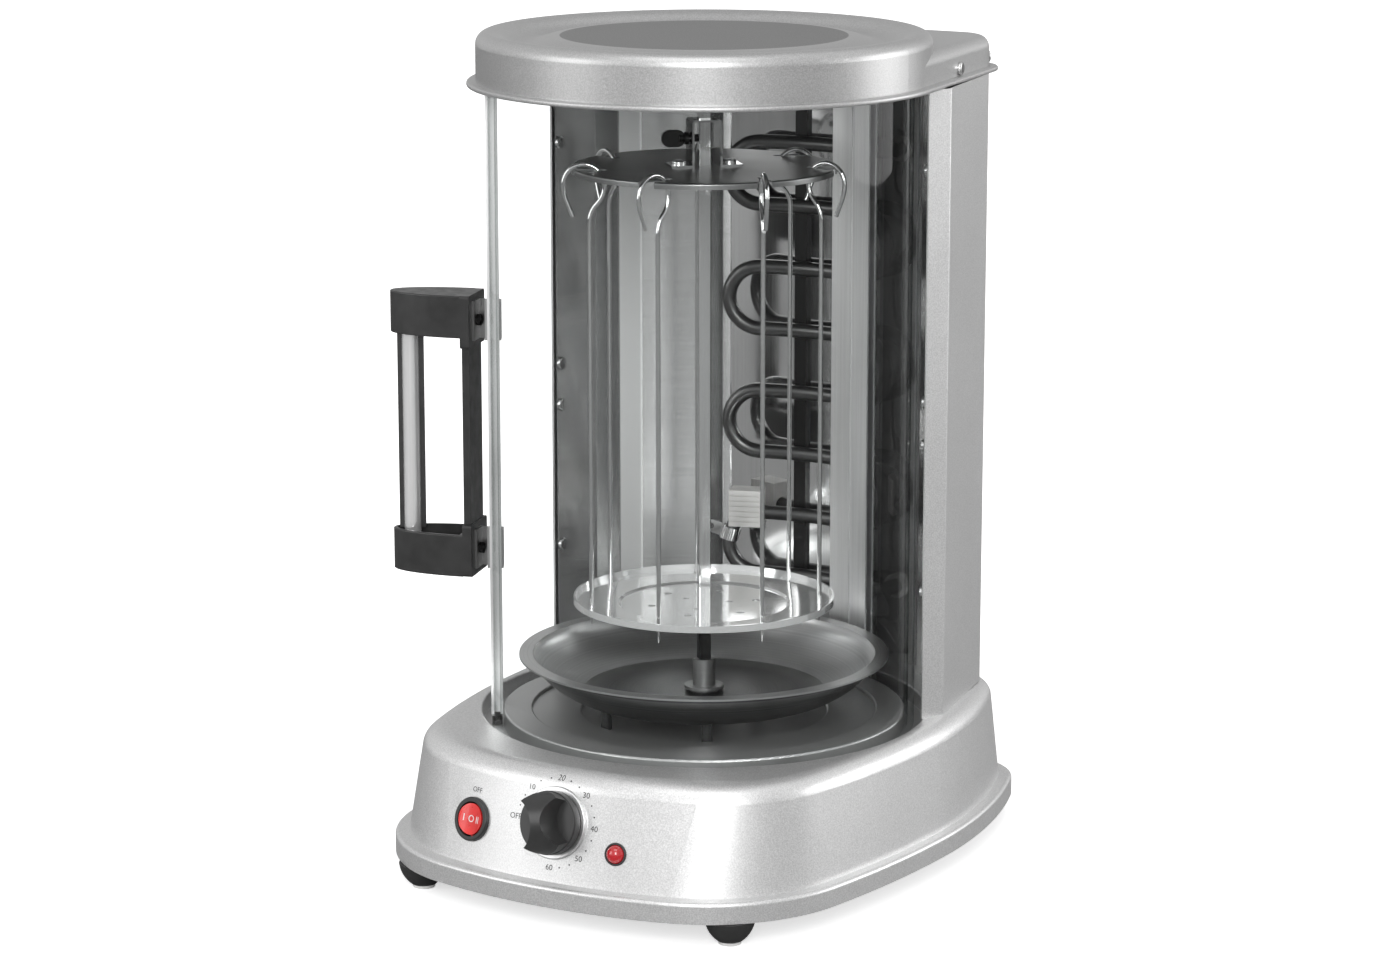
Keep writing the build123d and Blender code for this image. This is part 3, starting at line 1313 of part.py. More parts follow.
def drip_pan():
    """Round pan with a dished wall, a flat lip and a centre hole."""
    under = PAN_FLOOR[1]
    lip = PAN_NECK[1]
    section = Plane.XZ * make_face([
        *pan_side(0, 0),
        *pan_side(PAN_INSET, PAN_SHEET),
        Line((PAN_HOLE, under), (PAN_HOLE, under + PAN_SHEET)),
        Line((PAN_LIP, lip), (PAN_LIP, lip + PAN_SHEET)),
    ])
    return revolve(section, Axis.Z)


def pan_studs():
    low = DECK - RECESS_DROP
    high = PAN_FLOOR[1]
    stud = rounded_top(rod(STUD_RADIUS, low, high), STUD_EDGE)
    return group(Pos(polar(STUD_CIRCLE, angle)) * stud for angle in STUD_ANGLES)


# Fasteners


def housing_screws():
    """All the pan-head screws of the housing: back, cover, liners and base."""
    screw = pan_head_screw()
    screws = [place * screw for place in back_screw_places() + cover_screw_places()]
    for place in liner_screw_places():
        liner_screw = place * pan_head_screw(LINER_SCREW_LENGTH)
        screws += [liner_screw, left_of(liner_screw)]
    screws += [Pos(x, y, LIP_LOW - BASE_SHEET) * Rot(180, 0, 0) * screw for x, y in BASE_SCREWS]
    return group(screws)


def handle_screws():
    """Screws through the clips into the pads, each with its nut in the gap."""
    screws = []
    for z in CLAMP_LEVELS:
        low = HANDLE_FOOT - CLAMP_SHEET - NUT_HEIGHT
        nut = Pos(0, 0, low) * extrude(RegularPolygon(NUT_RADIUS, 6), NUT_HEIGHT)
        shank = rod(SHANK_RADIUS, low - NUT_THREAD_END, HANDLE_PAD - NUT_THREAD_END)
        screws.append(HANDLE_PLACE * Pos(0, CLAMP_SCREW_Y, z) * Rot(0, 90, 0) * (nut + shank))
    return group(screws)


def save(name, solid):
    export_step(Pos(AXIS_X, AXIS_Y, 0) * solid, f"parts/{name}.step")


def build():
    os.makedirs("parts", exist_ok=True)
    panel = side_panel()
    liner = side_liner()
    save("right_panel", panel)
    save("left_panel", left_of(panel))
    save("right_liner", liner)
    save("left_liner", left_of(liner))
    pieces = (
        base_housing, bottom_plate, feet, foot_pads, dial_ring, timer_body, timer_shaft, timer_knob,
        switch_body, rocker, lamp_bezel, lamp_lens, cord_gland, gearbox_case, gear_motor, drive_bush,
        terminal_block, back_panel, back_reflector, top_cover, ceiling_plate, spit_bush, heating_element,
        element_bushes, element_support, ceramic_block, element_clip, door_glass, leading_trim,
        trailing_trim, door_shoes, handle_frame, handle_caps, grip_tube, grip_back, handle_clamps,
        handle_screws, drive_shaft,
        drive_sleeve, spit_rod, lower_plate, plate_clip, top_disc, disc_bracket, bracket_screws, thumbscrew,
        drip_pan, pan_studs, housing_screws,
    )
    for piece in pieces:
        save(piece.__name__, piece())
    for index in range(SKEWER_COUNT):
        save(f"skewer_{index + 1}", skewer(index))


if __name__ == "__main__":
    build()
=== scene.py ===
import json
import math

import bmesh
import bpy
from mathutils import Matrix, Vector
from mathutils.bvhtree import BVHTree


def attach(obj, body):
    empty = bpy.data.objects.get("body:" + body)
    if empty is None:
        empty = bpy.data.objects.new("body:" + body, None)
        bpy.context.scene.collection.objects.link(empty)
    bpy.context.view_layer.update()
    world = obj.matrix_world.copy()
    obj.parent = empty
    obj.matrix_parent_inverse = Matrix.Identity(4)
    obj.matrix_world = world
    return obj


# Looks of a vertical rotisserie oven. Lengths are metres, angles are degrees.

MM = 0.001

# Camera, placed round the spit axis
CAMERA_REACH = 2.0505
CAMERA_HEIGHT = 0.6479
CAMERA_AZIMUTH = 29.8034
CAMERA_YAW = 29.8636
CAMERA_PITCH = 12.2573
CAMERA_LENS = 101.63
SENSOR = 36.0

# Dial print on the front wall
DIAL_RADIUS = 22.8 * MM
DIAL_OFF_RADIUS = 24.0 * MM
DIAL_START = -90.0
DIAL_STEP = 45.0
DIAL_WORDS = ("OFF", "10", "20", "30", "40", "50", "60")
DIAL_TEXT = 4.2 * MM
SWITCH_TEXT = 3.8 * MM
SWITCH_TEXT_RISE = 15.2 * MM
DOT_RADIUS = 0.42 * MM
PRINT_PROUD = 0.06 * MM
PRINT_SUNK = 0.10 * MM
PRINT_SEARCH = 12.0 * MM

# Marks on the rocker, each with its place across the switch
ROCKER_MARKS = (("I", -4.8 * MM), ("O", 0.2 * MM), ("II", 4.9 * MM))
ROCKER_TEXT = 5.2 * MM

# Areas of a finish, most of them painted shade and painted reflections: radius round the spit axis and
# lowest height, or a radius, height, depth or angle alone
# Painted dark reflection on the flat plateau of the top cover
COVER_PLATEAU_PAINTED_REFLECTION = (75.2 * MM, 437.6 * MM)
# Painted shade on the deck inside the door track
DECK_PAINTED_SHADE = (119.0 * MM, 60.0 * MM)
# Painted shadow and dark reflection on the drip pan's floor, out to about this radius
PAN_SHADOW_RADIUS = 67.0 * MM
ROD_DARK_BELOW = 128.0 * MM
# Depths of the liners' narrow panel with a painted bright reflection
PANEL_PAINTED_GLARE = (83.2 * MM, 97.2 * MM)
# Angles round the spit axis, soft edge and tint of the painted dark reflection on the glass beside its rear
# edge
GLASS_PAINTED_DARK_BAND = (math.radians(44.0), math.radians(62.3))
GLASS_PAINTED_DARK_EDGE = math.radians(0.4)
GLASS_PAINTED_DARK_TINT = 0.38
GLASS_CLEAR = (0.965, 0.972, 0.970, 1.0)
GLASS_EDGE_ON = (0.60, 0.62, 0.62, 1.0)

# Stretch of a texture, which draws its lines upright, level, round the axis or not at all
UPRIGHT = (1.0, 1.0, 0.01)
LEVEL = (0.02, 0.02, 1.0)
ROUND = (0.05, 0.05, 1.0)
EVEN = (1.0, 1.0, 1.0)

# Nodes whose finish is not the one of their slot
NODE_FINISH = {
    "top_cover": "cover_paint_painted_shade", "base_housing": "base_paint_painted_shade", "drip_pan": "pan_steel",
    "drive_sleeve": "sleeve_steel", "spit_rod": "rod_steel", "left_liner": "liner_steel",
    "right_liner": "liner_steel", "top_disc": "disc_steel_painted_dark_reflection", "lower_plate": "plate_steel",
    "element_support": "black_oxide", "handle_clamps": "clip_steel",
}

# Floor: radius, where it fades to white, and its own light and mirrored tone
FLOOR_RADIUS = 9.0
FLOOR_FADE = (0.22, 0.62)
FLOOR_WHITE = 0.62
FLOOR_PAPER = 0.93
FLOOR_MIRRORED = 0.32

# Brightness of the studio walls by compass direction: 0 is behind the oven, 0.25 right, 0.5 in front
WALLS = (
    (0.0, 0.70), (0.08, 0.95), (0.18, 0.85), (0.29, 0.60), (0.36, 0.90), (0.42, 1.0),
    (0.50, 0.75), (0.58, 0.85), (0.68, 0.75), (0.80, 0.70), (0.91, 0.55),
)
WORLD_FILL = 0.60

# Lamps: name, angle from the front towards the right, reach, rise, rise of the aim, width, height, watts
LAMPS = (
    ("key", 28.0, 2.3, 1.15, 0.22, 0.7, 1.2, 28.0),
    ("left", -38.0, 2.3, 0.9, 0.22, 1.1, 1.3, 12.0),
    ("right", 130.0, 2.2, 0.6, 0.22, 1.3, 1.1, 14.0),
    ("top", 20.0, 0.9, 2.2, 0.15, 1.4, 1.0, 9.0),
)


# Shader building


class Shading:
    """Adds and links the nodes of one material or world."""

    def __init__(self, owner, output):
        owner.use_nodes = True
        self.owner = owner
        self.tree = owner.node_tree
        self.tree.nodes.clear()
        self.output = self.add(output)

    def add(self, kind, settings=None, inputs=None):
        made = self.tree.nodes.new("ShaderNode" + kind)
        for name, value in (settings or {}).items():
            setattr(made, name, value)
        for name, value in (inputs or {}).items():
            self.put(made.inputs[name], value)
        return made

    def put(self, socket, value):
        if isinstance(value, bpy.types.NodeSocket):
            self.tree.links.new(value, socket)
        else:
            socket.default_value = value

    def math(self, operation, *values):
        made = self.add("Math", {"operation": operation})
        for socket, value in zip(made.inputs, values):
            self.put(socket, value)
        return made.outputs[0]

    def place(self, stretch=EVEN):
        source = self.add("TexCoord").outputs["Object"]
        return self.add("Mapping", inputs={"Vector": source, "Scale": stretch}).outputs[0]

    def noise(self, scale, detail=3.0, stretch=EVEN):
        settings = {"Vector": self.place(stretch), "Scale": scale, "Detail": detail}
        return self.add("TexNoise", inputs=settings).outputs["Fac"]

    def span(self, value, low, high, to_low=0.0, to_high=1.0):
        inputs = {"Value": value, "From Min": low, "From Max": high, "To Min": to_low, "To Max": to_high}
        return self.add("MapRange", inputs=inputs).outputs[0]

    def blend(self, factor, first, second, mode="MIX"):
        made = self.add("Mix", {"data_type": "RGBA", "blend_type": mode})
        self.put(made.inputs["Factor"], factor)
        self.put(made.inputs["A"], first)
        self.put(made.inputs["B"], second)
        return made.outputs["Result"]

    def even(self, level):
        """Grey colour from one value."""
        return self.add("CombineColor", inputs={"Red": level, "Green": level, "Blue": level}).outputs[0]

    def between(self, value, low, high, soft):
        """Mask of the values from low to high, with soft ends."""
        after = self.span(value, low, low + soft)
        before = self.span(value, high, high - soft)
        return self.math("MULTIPLY", after, before)

    def from_axis(self, axis):
        """Sockets for a point's offsets across and along from the spit axis, and its height."""
        split = self.add("SeparateXYZ", inputs={"Vector": self.add("TexCoord").outputs["Object"]})
        across = self.math("SUBTRACT", split.outputs["X"], axis.x)
        along = self.math("SUBTRACT", split.outputs["Y"], axis.y)
        return across, along, split.outputs["Z"]

    def radius(self, axis):
        """Sockets for a point's distance from the spit axis, and its height."""
        across, along, height = self.from_axis(axis)
        squares = [self.math("MULTIPLY", offset, offset) for offset in (across, along)]
        return self.math("SQRT", self.math("ADD", *squares)), height

    def mix(self, factor, first, second):
        """Put a mix of two shaders on the surface."""
        both = self.add("MixShader")
        for socket, value in zip(both.inputs, (factor, first, second)):
            self.put(socket, value)
        self.put(self.output.inputs["Surface"], both.outputs[0])

    def bump(self, height, strength, depth):
        inputs = {"Height": height, "Strength": strength, "Distance": depth}
        return self.add("Bump", inputs=inputs).outputs[0]

    def principled(self, **values):
        inputs = {name.replace("_", " "): value for name, value in values.items()}
        shader = self.add("BsdfPrincipled", inputs=inputs)
        self.put(self.output.inputs["Surface"], shader.outputs[0])
        return self.owner


def material(name):
    return Shading(bpy.data.materials.new(name), "OutputMaterial")


def grey(level, warm=0.0):
    return (level * (1.0 + warm), level, level * (1.0 - warm), 1.0)


# Finishes


def silver_paint(name, level, axis, painted_dark_area=None, painted_dark_level=0.0):
    """Fine metallic paint with sparkle; a round part near the spit axis may take a level of its own, as
    painted shade on the deck and as a painted dark reflection on the cover's plateau.
    """
    shade = material(name)
    sparkle = shade.span(shade.noise(1500.0, 2.0), 0.35, 0.68)
    cloud = shade.span(shade.noise(14.0, 3.0), 0.3, 0.7, 0.97, 1.03)
    colour = shade.blend(sparkle, grey(level * 0.86), grey(level * 1.12))
    # Painted shade on the deck and painted dark reflection on the cover's plateau, in a round part near the
    # spit axis
    if painted_dark_area:
        radius, height = shade.radius(axis)
        inside = shade.span(radius, painted_dark_area[0], painted_dark_area[0] - 0.6 * MM)
        above = shade.span(height, painted_dark_area[1] - 0.2 * MM, painted_dark_area[1] + 0.2 * MM)
        painted_dark_mask = shade.math("MULTIPLY", inside, above)
        colour = shade.blend(painted_dark_mask, colour, grey(painted_dark_level))
    colour = shade.blend(1.0, colour, shade.even(cloud), "MULTIPLY")
    rough = shade.span(sparkle, 0.0, 1.0, 0.34, 0.46)
    normal = shade.bump(shade.noise(1100.0, 2.0), 0.2, 0.05 * MM)
    return shade.principled(Base_Color=colour, Metallic=0.75, Roughness=rough, Normal=normal)


def bright_metal(name, level, rough, brush, smudge=0.05, bump=0.1, metal=1.0):
    """Polished or brushed metal: fine drawn lines along brush, smudges in the gloss."""
    shade = material(name)
    lines = shade.noise(900.0, 2.0, brush)
    patches = shade.noise(22.0, 4.0)
    colour = shade.blend(shade.span(lines, 0.3, 0.7), grey(level * 0.94), grey(level * 1.04))
    gloss = shade.math("ADD", shade.span(patches, 0.35, 0.7, rough - smudge / 2, rough + smudge),
                       shade.span(lines, 0.3, 0.7, 0.0, smudge / 2))
    normal = shade.bump(lines, bump, 0.02 * MM)
    return shade.principled(Base_Color=colour, Metallic=metal, Roughness=gloss, Normal=normal)


def drawn_sheet(name, level, rough, axis):
    """Bright sheet that smears its reflections up and down; the narrow panel carries a painted bright
    reflection, near white and hardly metallic.
    """
    shade = material(name)
    depth = shade.from_axis(axis)[1]
    # Painted bright reflection: the narrow panel turns near white and hardly metallic
    bright_part = shade.between(depth, *PANEL_PAINTED_GLARE, 0.3 * MM)
    lines = shade.noise(700.0, 2.0, LEVEL)
    patches = shade.span(shade.noise(12.0, 4.0), 0.3, 0.7, 0.95, 1.04)
    colour = shade.blend(shade.span(lines, 0.3, 0.7), grey(level * 0.95), grey(level * 1.04))
    colour = shade.blend(1.0, colour, shade.even(patches), "MULTIPLY")
    colour = shade.blend(bright_part, colour, grey(0.95))
    metal = shade.span(bright_part, 0.0, 1.0, 0.88, 0.12)
    around_axis = shade.add("Tangent", {"direction_type": "RADIAL", "axis": "Z"}).outputs[0]
    return shade.principled(Base_Color=colour, Metallic=metal, Roughness=rough, Anisotropic=0.95,
                            Anisotropic_Rotation=0.25, Tangent=around_axis)


def spun_steel(name, level, rough, axis, shadow_radius, shadow_level):
    """Sheet with fine rings of polishing and a few stains, with painted shadow and dark reflection on its
    floor and painted shade on its underside.
    """
    shade = material(name)
    radius = shade.radius(axis)[0]
    rings = shade.add("TexNoise", {"noise_dimensions": "1D"}, {"W": radius, "Scale": 1400.0, "Detail": 3.0})
    rings = rings.outputs["Fac"]
    stains = shade.span(shade.noise(26.0, 5.0), 0.45, 0.75)
    colour = shade.blend(shade.span(rings, 0.3, 0.7), grey(level * 0.9), grey(level * 1.08))
    colour = shade.blend(shade.math("MULTIPLY", stains, 0.12), colour, grey(level * 0.7, 0.02))
    # Painted shadow and dark reflection on the floor under the plate, and painted shade on faces turned down
    painted_shade_tone = shade.blend(shade.span(rings, 0.3, 0.7), grey(shadow_level * 0.8), grey(shadow_level * 1.3))
    facing = shade.add("SeparateXYZ", inputs={"Vector": shade.add("NewGeometry").outputs["Normal"]})
    under = shade.span(facing.outputs["Z"], 0.0, -0.25)
    floor = shade.span(radius, shadow_radius * 1.25, shadow_radius * 0.75)
    colour = shade.blend(shade.math("MAXIMUM", floor, under), colour, painted_shade_tone)
    gloss = shade.span(stains, 0.0, 1.0, rough, rough + 0.05)
    normal = shade.bump(rings, 0.15, 0.02 * MM)
    return shade.principled(Base_Color=colour, Metallic=1.0, Roughness=gloss, Normal=normal)


def rod_steel(name, axis, dark_below):
    """Polished bar that turns dark and rough below a set height."""
    shade = material(name)
    height = shade.from_axis(axis)[2]
    lines = shade.noise(900.0, 2.0, UPRIGHT)
    bright_part = shade.span(height, dark_below - 0.4 * MM, dark_below + 0.4 * MM)
    bright = shade.blend(shade.span(lines, 0.3, 0.7), grey(0.80), grey(0.90))
    colour = shade.blend(bright_part, grey(0.035), bright)
    gloss = shade.span(bright_part, 0.0, 1.0, 0.4, 0.09)
    normal = shade.bump(lines, 0.1, 0.02 * MM)
    return shade.principled(Base_Color=colour, Metallic=1.0, Roughness=gloss, Normal=normal)


def moulding(name, colour, rough, grain=900.0, depth=0.04, coat=0.0):
    """Moulded plastic or rubber with a fine spark-eroded grain."""
    shade = material(name)
    dark = tuple(value * 0.8 for value in colour[:3]) + (1.0,)
    light = tuple(min(1.0, value * 1.15) for value in colour[:3]) + (1.0,)
    tint = shade.blend(shade.span(shade.noise(40.0, 4.0), 0.35, 0.65), dark, light)
    gloss = shade.span(shade.noise(160.0, 3.0), 0.35, 0.65, rough - 0.05, rough + 0.06)
    normal = shade.bump(shade.noise(grain, 2.0), 0.3, depth * MM)
    return shade.principled(Base_Color=tint, Roughness=gloss, Normal=normal, Coat_Weight=coat)


def plated_sheet(name):
    """Zinc plating with its small crystals."""
    shade = material(name)
    cells = shade.add("TexVoronoi", inputs={"Vector": shade.place(), "Scale": 160.0})
    tone = shade.span(cells.outputs["Distance"], 0.0, 0.8, 0.46, 0.62)
    gloss = shade.span(shade.noise(90.0), 0.3, 0.7, 0.28, 0.42)
    return shade.principled(Base_Color=shade.even(tone), Metallic=1.0, Roughness=gloss)


def clear_glass(name, axis):
    """Clear pane with a painted dark reflection in a strip beside its rear edge, and a reflection that grows
    at grazing angles.
    """
    shade = material(name)
    across, along = shade.from_axis(axis)[:2]
    turn = shade.math("ARCTAN2", along, across)
    # Painted dark reflection in a strip of the pane beside its rear edge
    painted_dark_band = shade.between(turn, *GLASS_PAINTED_DARK_BAND, GLASS_PAINTED_DARK_EDGE)
    facing = shade.add("LayerWeight", inputs={"Blend": 0.5}).outputs["Facing"]
    edge_on = shade.span(facing, 0.80, 0.98)
    tint = shade.blend(edge_on, GLASS_CLEAR, GLASS_EDGE_ON)
    tint = shade.blend(painted_dark_band, tint, grey(GLASS_PAINTED_DARK_TINT))
    clear = shade.add("BsdfTransparent", inputs={"Color": tint})
    haze = shade.span(shade.noise(9.0, 4.0), 0.4, 0.75, 0.008, 0.03)
    shine = shade.add("BsdfAnisotropic", inputs={"Color": grey(0.95), "Roughness": haze})
    front = shade.math("SUBTRACT", 1.0, shade.add("NewGeometry").outputs["Backfacing"])
    curve = shade.span(shade.math("POWER", facing, 5.0), 0.0, 1.0, 0.02, 0.55)
    share = shade.math("MULTIPLY", curve, front)
    shade.mix(share, clear.outputs[0], shine.outputs[0])
    return shade.owner


def finishes(axis):
    """One material for each slot of the record, and a few for single nodes."""
    return {
        "silver_paint": silver_paint("silver_paint", 0.66, axis),
        # Silver paint made darker on the cover as painted shade, with a painted dark reflection on its
        # plateau
        "cover_paint_painted_shade": silver_paint("cover_paint_painted_shade", 0.48, axis, COVER_PLATEAU_PAINTED_REFLECTION, 0.19),
        # Silver paint of the base, a little lighter than the panels' copy as painted light, with painted
        # shade on the deck inside the door track
        "base_paint_painted_shade": silver_paint("base_paint_painted_shade", 0.68, axis, DECK_PAINTED_SHADE, 0.50),
        "satin_silver": bright_metal("satin_silver", 0.68, 0.28, ROUND),
        "plated_sheet": plated_sheet("plated_sheet"),
        "black_rubber": moulding("black_rubber", grey(0.018), 0.55),
        "white_pad": moulding("white_pad", grey(0.72, 0.01), 0.6),
        "black_plastic": moulding("black_plastic", grey(0.024), 0.34),
        "red_plastic": moulding("red_plastic", (0.72, 0.016, 0.014, 1.0), 0.28, coat=0.4),
        "red_lens": moulding("red_lens", (0.42, 0.006, 0.012, 1.0), 0.12, coat=1.0),
        "white_ceramic": moulding("white_ceramic", grey(0.74, 0.02), 0.6, 300.0, 0.2),
        "mirror_steel": bright_metal("mirror_steel", 0.72, 0.06, UPRIGHT, 0.04, 0.02),
        "liner_steel": drawn_sheet("liner_steel", 0.66, 0.22, axis),
        # Steel of the top disc kept dark, a painted reflection of the dark ceiling plate above it
        "disc_steel_painted_dark_reflection": bright_metal("disc_steel_painted_dark_reflection", 0.28, 0.34, EVEN, 0.04, 0.01),
        "plate_steel": bright_metal("plate_steel", 0.94, 0.08, EVEN, 0.04, 0.02, 0.7),
        "polished_steel": bright_metal("polished_steel", 0.70, 0.05, EVEN, 0.03, 0.01),
        "pan_steel": spun_steel("pan_steel", 0.58, 0.30, axis, PAN_SHADOW_RADIUS, 0.13),
        "sleeve_steel": bright_metal("sleeve_steel", 0.34, 0.42, ROUND, 0.08, 0.2),
        "rod_steel": rod_steel("rod_steel", axis, ROD_DARK_BELOW),
        "black_oxide": bright_metal("black_oxide", 0.03, 0.34, EVEN, 0.06, 0.2),
        "element_sheath": bright_metal("element_sheath", 0.12, 0.32, EVEN, 0.08, 0.3),
        "trim_steel": bright_metal("trim_steel", 0.84, 0.34, UPRIGHT, 0.06, 0.1, 0.9),
        "clip_steel": bright_metal("clip_steel", 0.42, 0.30, UPRIGHT, 0.06, 0.1),
        "clear_glass": clear_glass("clear_glass", axis),
        "chrome": bright_metal("chrome", 0.94, 0.12, UPRIGHT, 0.04, 0.03, 0.7),
        "bronze": bright_metal("bronze", 0.45, 0.3, ROUND),
        "zinc_screws": bright_metal("zinc_screws", 0.62, 0.22, EVEN),
        "print": moulding("print", grey(0.02), 0.6),
        "white_print": moulding("white_print", grey(0.85), 0.5),
    }


def dress_nodes(frame, finish):
    for part in frame["record"]["subparts"]:
        name = part["node"]
        mesh = frame["nodes"][name].data
        chosen = finish[NODE_FINISH.get(name, part["material_slot"])]
        mesh.materials.clear()
        mesh.materials.append(chosen)


# Print that lies on a moulded or painted face


def flat_outline(body, size):
    """Filled two-dimensional mesh of a short text, centred on the origin."""
    curve = bpy.data.curves.new("outline", "FONT")
    curve.body = body
    curve.size = size
    curve.align_x = "CENTER"
    curve.align_y = "CENTER"
    curve.resolution_u = 3
    holder = bpy.data.objects.new("outline", curve)
    bpy.context.scene.collection.objects.link(holder)
    shape = bmesh.new()
    mesh = bpy.data.meshes.new_from_object(holder)
    shape.from_mesh(mesh)
    bpy.data.objects.remove(holder)
    bpy.data.curves.remove(curve)
    bpy.data.meshes.remove(mesh)
    bmesh.ops.remove_doubles(shape, verts=shape.verts, dist=0.01 * MM)
    return shape


def flat_disc(radius, sides=16):
    shape = bmesh.new()
    bmesh.ops.create_circle(shape, cap_ends=True, segments=sides, radius=radius)
    return shape


def lay_print(target, shapes, place, surface):
    """Add flat shapes at plane offsets to target, laid onto a carrying surface as thin closed prints."""
    outward = place.col[2].to_3d()
    for shape, offset in shapes:
        low = {}
        high = {}
        for vertex in shape.verts:
            flat = place @ Vector((vertex.co.x + offset[0], vertex.co.y + offset[1], 0.0))
            hit = surface.ray_cast(flat + outward * PRINT_SEARCH, -outward, 2 * PRINT_SEARCH)[0]
            rest = hit if hit else flat
            high[vertex] = target.verts.new(rest + outward * PRINT_PROUD)
            low[vertex] = target.verts.new(rest - outward * PRINT_SUNK)
        for face in shape.faces:
            target.faces.new([high[vertex] for vertex in face.verts])
            target.faces.new([low[vertex] for vertex in reversed(face.verts)])
        for edge in shape.edges:
            if edge.is_boundary:
                loop = edge.link_loops[0]
                first = loop.vert
                second = loop.link_loop_next.vert
                target.faces.new([low[first], low[second], high[second], high[first]])
        shape.free()


def finish_piece(name, shape, body, look):
    bmesh.ops.recalc_face_normals(shape, faces=shape.faces)
    mesh = bpy.data.meshes.new(name)
    shape.to_mesh(mesh)
    shape.free()
    mesh.materials.append(look)
    piece = bpy.data.objects.new(name, mesh)
    bpy.context.scene.collection.objects.link(piece)
    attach(piece, body)


def joint_named(frame, name):
    return next(joint for joint in frame["joints"] if joint["name"] == name)


def wall_plane(joint_axis, middle):
    """Plane at a point of the front wall: x to the viewer's right, y up the wall, z outward."""
    outward = Vector(joint_axis).normalized()
    across = Vector((0.0, 0.0, 1.0)).cross(outward).normalized()
    up = outward.cross(across)
    turned = Matrix((across, up, outward)).transposed().to_4x4()
    return Matrix.Translation(middle) @ turned


def switch_plane(frame):
    """Plane of the rocker switch, whose joint axis runs up the wall."""
    rock = joint_named(frame, "switch_rock")
    axis = Vector(rock["axis"])
    level = Vector((-axis.x, -axis.y, 0.0)).normalized()
    outward = level * axis.z + Vector((0.0, 0.0, math.hypot(axis.x, axis.y)))
    return wall_plane(outward, Vector(rock["pos_m"]))


def around(radius, turn):
    """Offset at a clock angle: 0 is up, and the angle runs clockwise."""
    return radius * math.sin(math.radians(turn)), radius * math.cos(math.radians(turn))


def dial_print(frame, finish):
    surface = BVHTree.FromObject(frame["nodes"]["base_housing"], bpy.context.evaluated_depsgraph_get())
    timer = joint_named(frame, "timer_turn")
    place = wall_plane(timer["axis"], Vector(timer["pos_m"]))
    shapes = []
    for index, word in enumerate(DIAL_WORDS):
        turn = DIAL_START + index * DIAL_STEP
        reach = DIAL_RADIUS if word.isdigit() else DIAL_OFF_RADIUS
        shapes.append((flat_outline(word, DIAL_TEXT), around(reach, turn)))
        if index + 1 < len(DIAL_WORDS):
            for share in (1 / 3, 2 / 3):
                shapes.append((flat_disc(DOT_RADIUS), around(DIAL_RADIUS, turn + share * DIAL_STEP)))
    target = bmesh.new()
    lay_print(target, shapes, place, surface)
    bezel = switch_plane(frame)
    lay_print(target, [(flat_outline("OFF", SWITCH_TEXT), (0.0, SWITCH_TEXT_RISE))], bezel, surface)
    finish_piece("dial_print", target, "chassis", finish["print"])


def rocker_print(frame, finish):
    surface = BVHTree.FromObject(frame["nodes"]["rocker"], bpy.context.evaluated_depsgraph_get())
    place = switch_plane(frame)
    target = bmesh.new()
    shapes = [(flat_outline(word, ROCKER_TEXT), (across, 0.0)) for word, across in ROCKER_MARKS]
    lay_print(target, shapes, place, surface)
    finish_piece("rocker_marks", target, "switch", finish["white_print"])


# Stage: floor, light and camera


def pale_floor():
    """Paper sweep: mostly plain white to the camera, with the oven's soft shadow."""
    shape = bmesh.new()
    bmesh.ops.create_circle(shape, cap_ends=True, segments=96, radius=FLOOR_RADIUS)
    mesh = bpy.data.meshes.new("floor")
    shape.to_mesh(mesh)
    shape.free()
    shade = material("floor")
    spot = shade.add("TexCoord").outputs["Object"]
    distance = shade.add("VectorMath", {"operation": "LENGTH"}, {0: spot}).outputs["Value"]
    path = shade.add("LightPath")
    white_share = shade.span(distance, FLOOR_FADE[0], FLOOR_FADE[1], FLOOR_WHITE, 1.0)
    tone = shade.blend(path.outputs["Is Glossy Ray"], grey(FLOOR_PAPER), grey(FLOOR_MIRRORED))
    paper = shade.add("BsdfDiffuse", inputs={"Color": tone})
    strength = shade.math("MULTIPLY", white_share, path.outputs["Is Camera Ray"])
    white = shade.add("Emission", inputs={"Color": grey(1.0), "Strength": strength})
    both = shade.add("AddShader")
    shade.put(both.inputs[0], paper.outputs[0])
    shade.put(both.inputs[1], white.outputs[0])
    shade.put(shade.output.inputs["Surface"], both.outputs[0])
    mesh.materials.append(shade.owner)
    floor = bpy.data.objects.new("floor", mesh)
    bpy.context.scene.collection.objects.link(floor)


def studio_world():
    """White backdrop to the camera; walls of several greys to reflections, dimmer as plain light."""
    world = bpy.data.worlds.new("studio")
    bpy.context.scene.world = world
    shade = Shading(world, "OutputWorld")
    split = shade.add("SeparateXYZ", inputs={"Vector": shade.add("TexCoord").outputs["Generated"]})
    compass = shade.math("ARCTAN2", split.outputs["X"], split.outputs["Y"])
    share = shade.span(compass, -math.pi, math.pi)
    ramp = shade.add("ValToRGB", inputs={"Fac": shade.math("FRACT", shade.math("ADD", share, 0.5))})
    ramp.color_ramp.interpolation = "EASE"
    stops = ramp.color_ramp.elements
    while len(stops) < len(WALLS):
        stops.new(0.5)
    for stop, (position, level) in zip(stops, WALLS):
        stop.position = position
        stop.color = grey(level)
    path = shade.add("LightPath")
    seen = shade.math("MAXIMUM", path.outputs["Is Camera Ray"], path.outputs["Is Transmission Ray"])
    colour = shade.blend(seen, ramp.outputs[0], grey(1.0))
    direct = shade.math("MAXIMUM", seen, path.outputs["Is Glossy Ray"])
    strength = shade.span(direct, 0.0, 1.0, WORLD_FILL, 1.0)
    sky = shade.add("Background", inputs={"Color": colour, "Strength": strength})
    shade.put(shade.output.inputs["Surface"], sky.outputs[0])


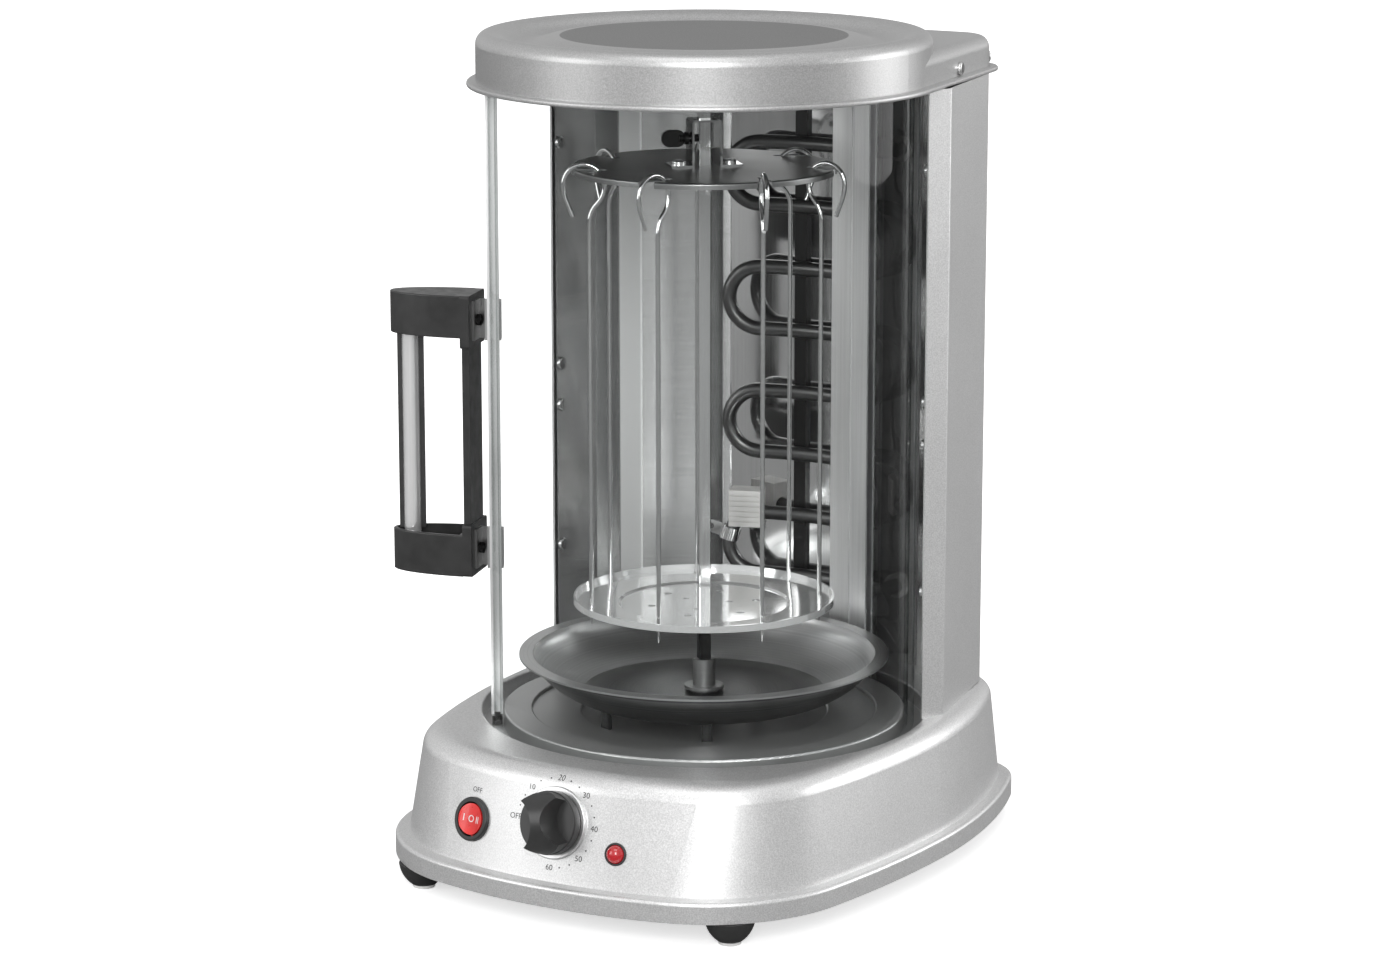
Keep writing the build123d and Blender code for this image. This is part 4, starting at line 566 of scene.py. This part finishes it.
def studio_lamps(axis):
    for name, compass, reach, rise, aim, width, height, power in LAMPS:
        lamp = bpy.data.lights.new(name, "AREA")
        lamp.shape = "RECTANGLE"
        lamp.size = width
        lamp.size_y = height
        lamp.energy = power
        holder = bpy.data.objects.new(name, lamp)
        turn = math.radians(compass)
        spot = axis + Vector((math.sin(turn), -math.cos(turn), 0.0)) * reach + Vector((0.0, 0.0, rise))
        toward = axis + Vector((0.0, 0.0, aim)) - spot
        holder.location = spot
        holder.rotation_euler = toward.to_track_quat("-Z", "Y").to_euler()
        bpy.context.scene.collection.objects.link(holder)


def photo_camera(axis):
    data = bpy.data.cameras.new("camera")
    data.sensor_fit = "HORIZONTAL"
    data.sensor_width = SENSOR
    data.lens = CAMERA_LENS
    holder = bpy.data.objects.new("camera", data)
    turn = math.radians(CAMERA_AZIMUTH)
    reach = Vector((math.sin(turn), -math.cos(turn), 0.0)) * CAMERA_REACH
    holder.location = axis + reach + Vector((0.0, 0.0, CAMERA_HEIGHT))
    holder.rotation_euler = (math.radians(90.0 - CAMERA_PITCH), 0.0, math.radians(CAMERA_YAW))
    bpy.context.scene.collection.objects.link(holder)
    bpy.context.scene.camera = holder


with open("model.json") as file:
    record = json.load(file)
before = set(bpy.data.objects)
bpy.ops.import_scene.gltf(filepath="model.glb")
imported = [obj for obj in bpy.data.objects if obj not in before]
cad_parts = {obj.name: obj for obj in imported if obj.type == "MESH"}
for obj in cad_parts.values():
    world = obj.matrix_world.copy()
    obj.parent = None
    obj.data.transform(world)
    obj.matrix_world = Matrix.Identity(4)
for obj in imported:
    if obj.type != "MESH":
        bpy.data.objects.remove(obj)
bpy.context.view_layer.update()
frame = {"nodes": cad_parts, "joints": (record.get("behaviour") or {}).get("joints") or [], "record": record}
bpy.context.scene.view_settings.view_transform = "Standard"
spit = joint_named(frame, "spit_spin")
spit_axis = Vector((spit["pos_m"][0], spit["pos_m"][1], 0.0))
look = finishes(spit_axis)
dress_nodes(frame, look)
dial_print(frame, look)
rocker_print(frame, look)
photo_camera(spit_axis)
pale_floor()
studio_world()
studio_lamps(spit_axis)
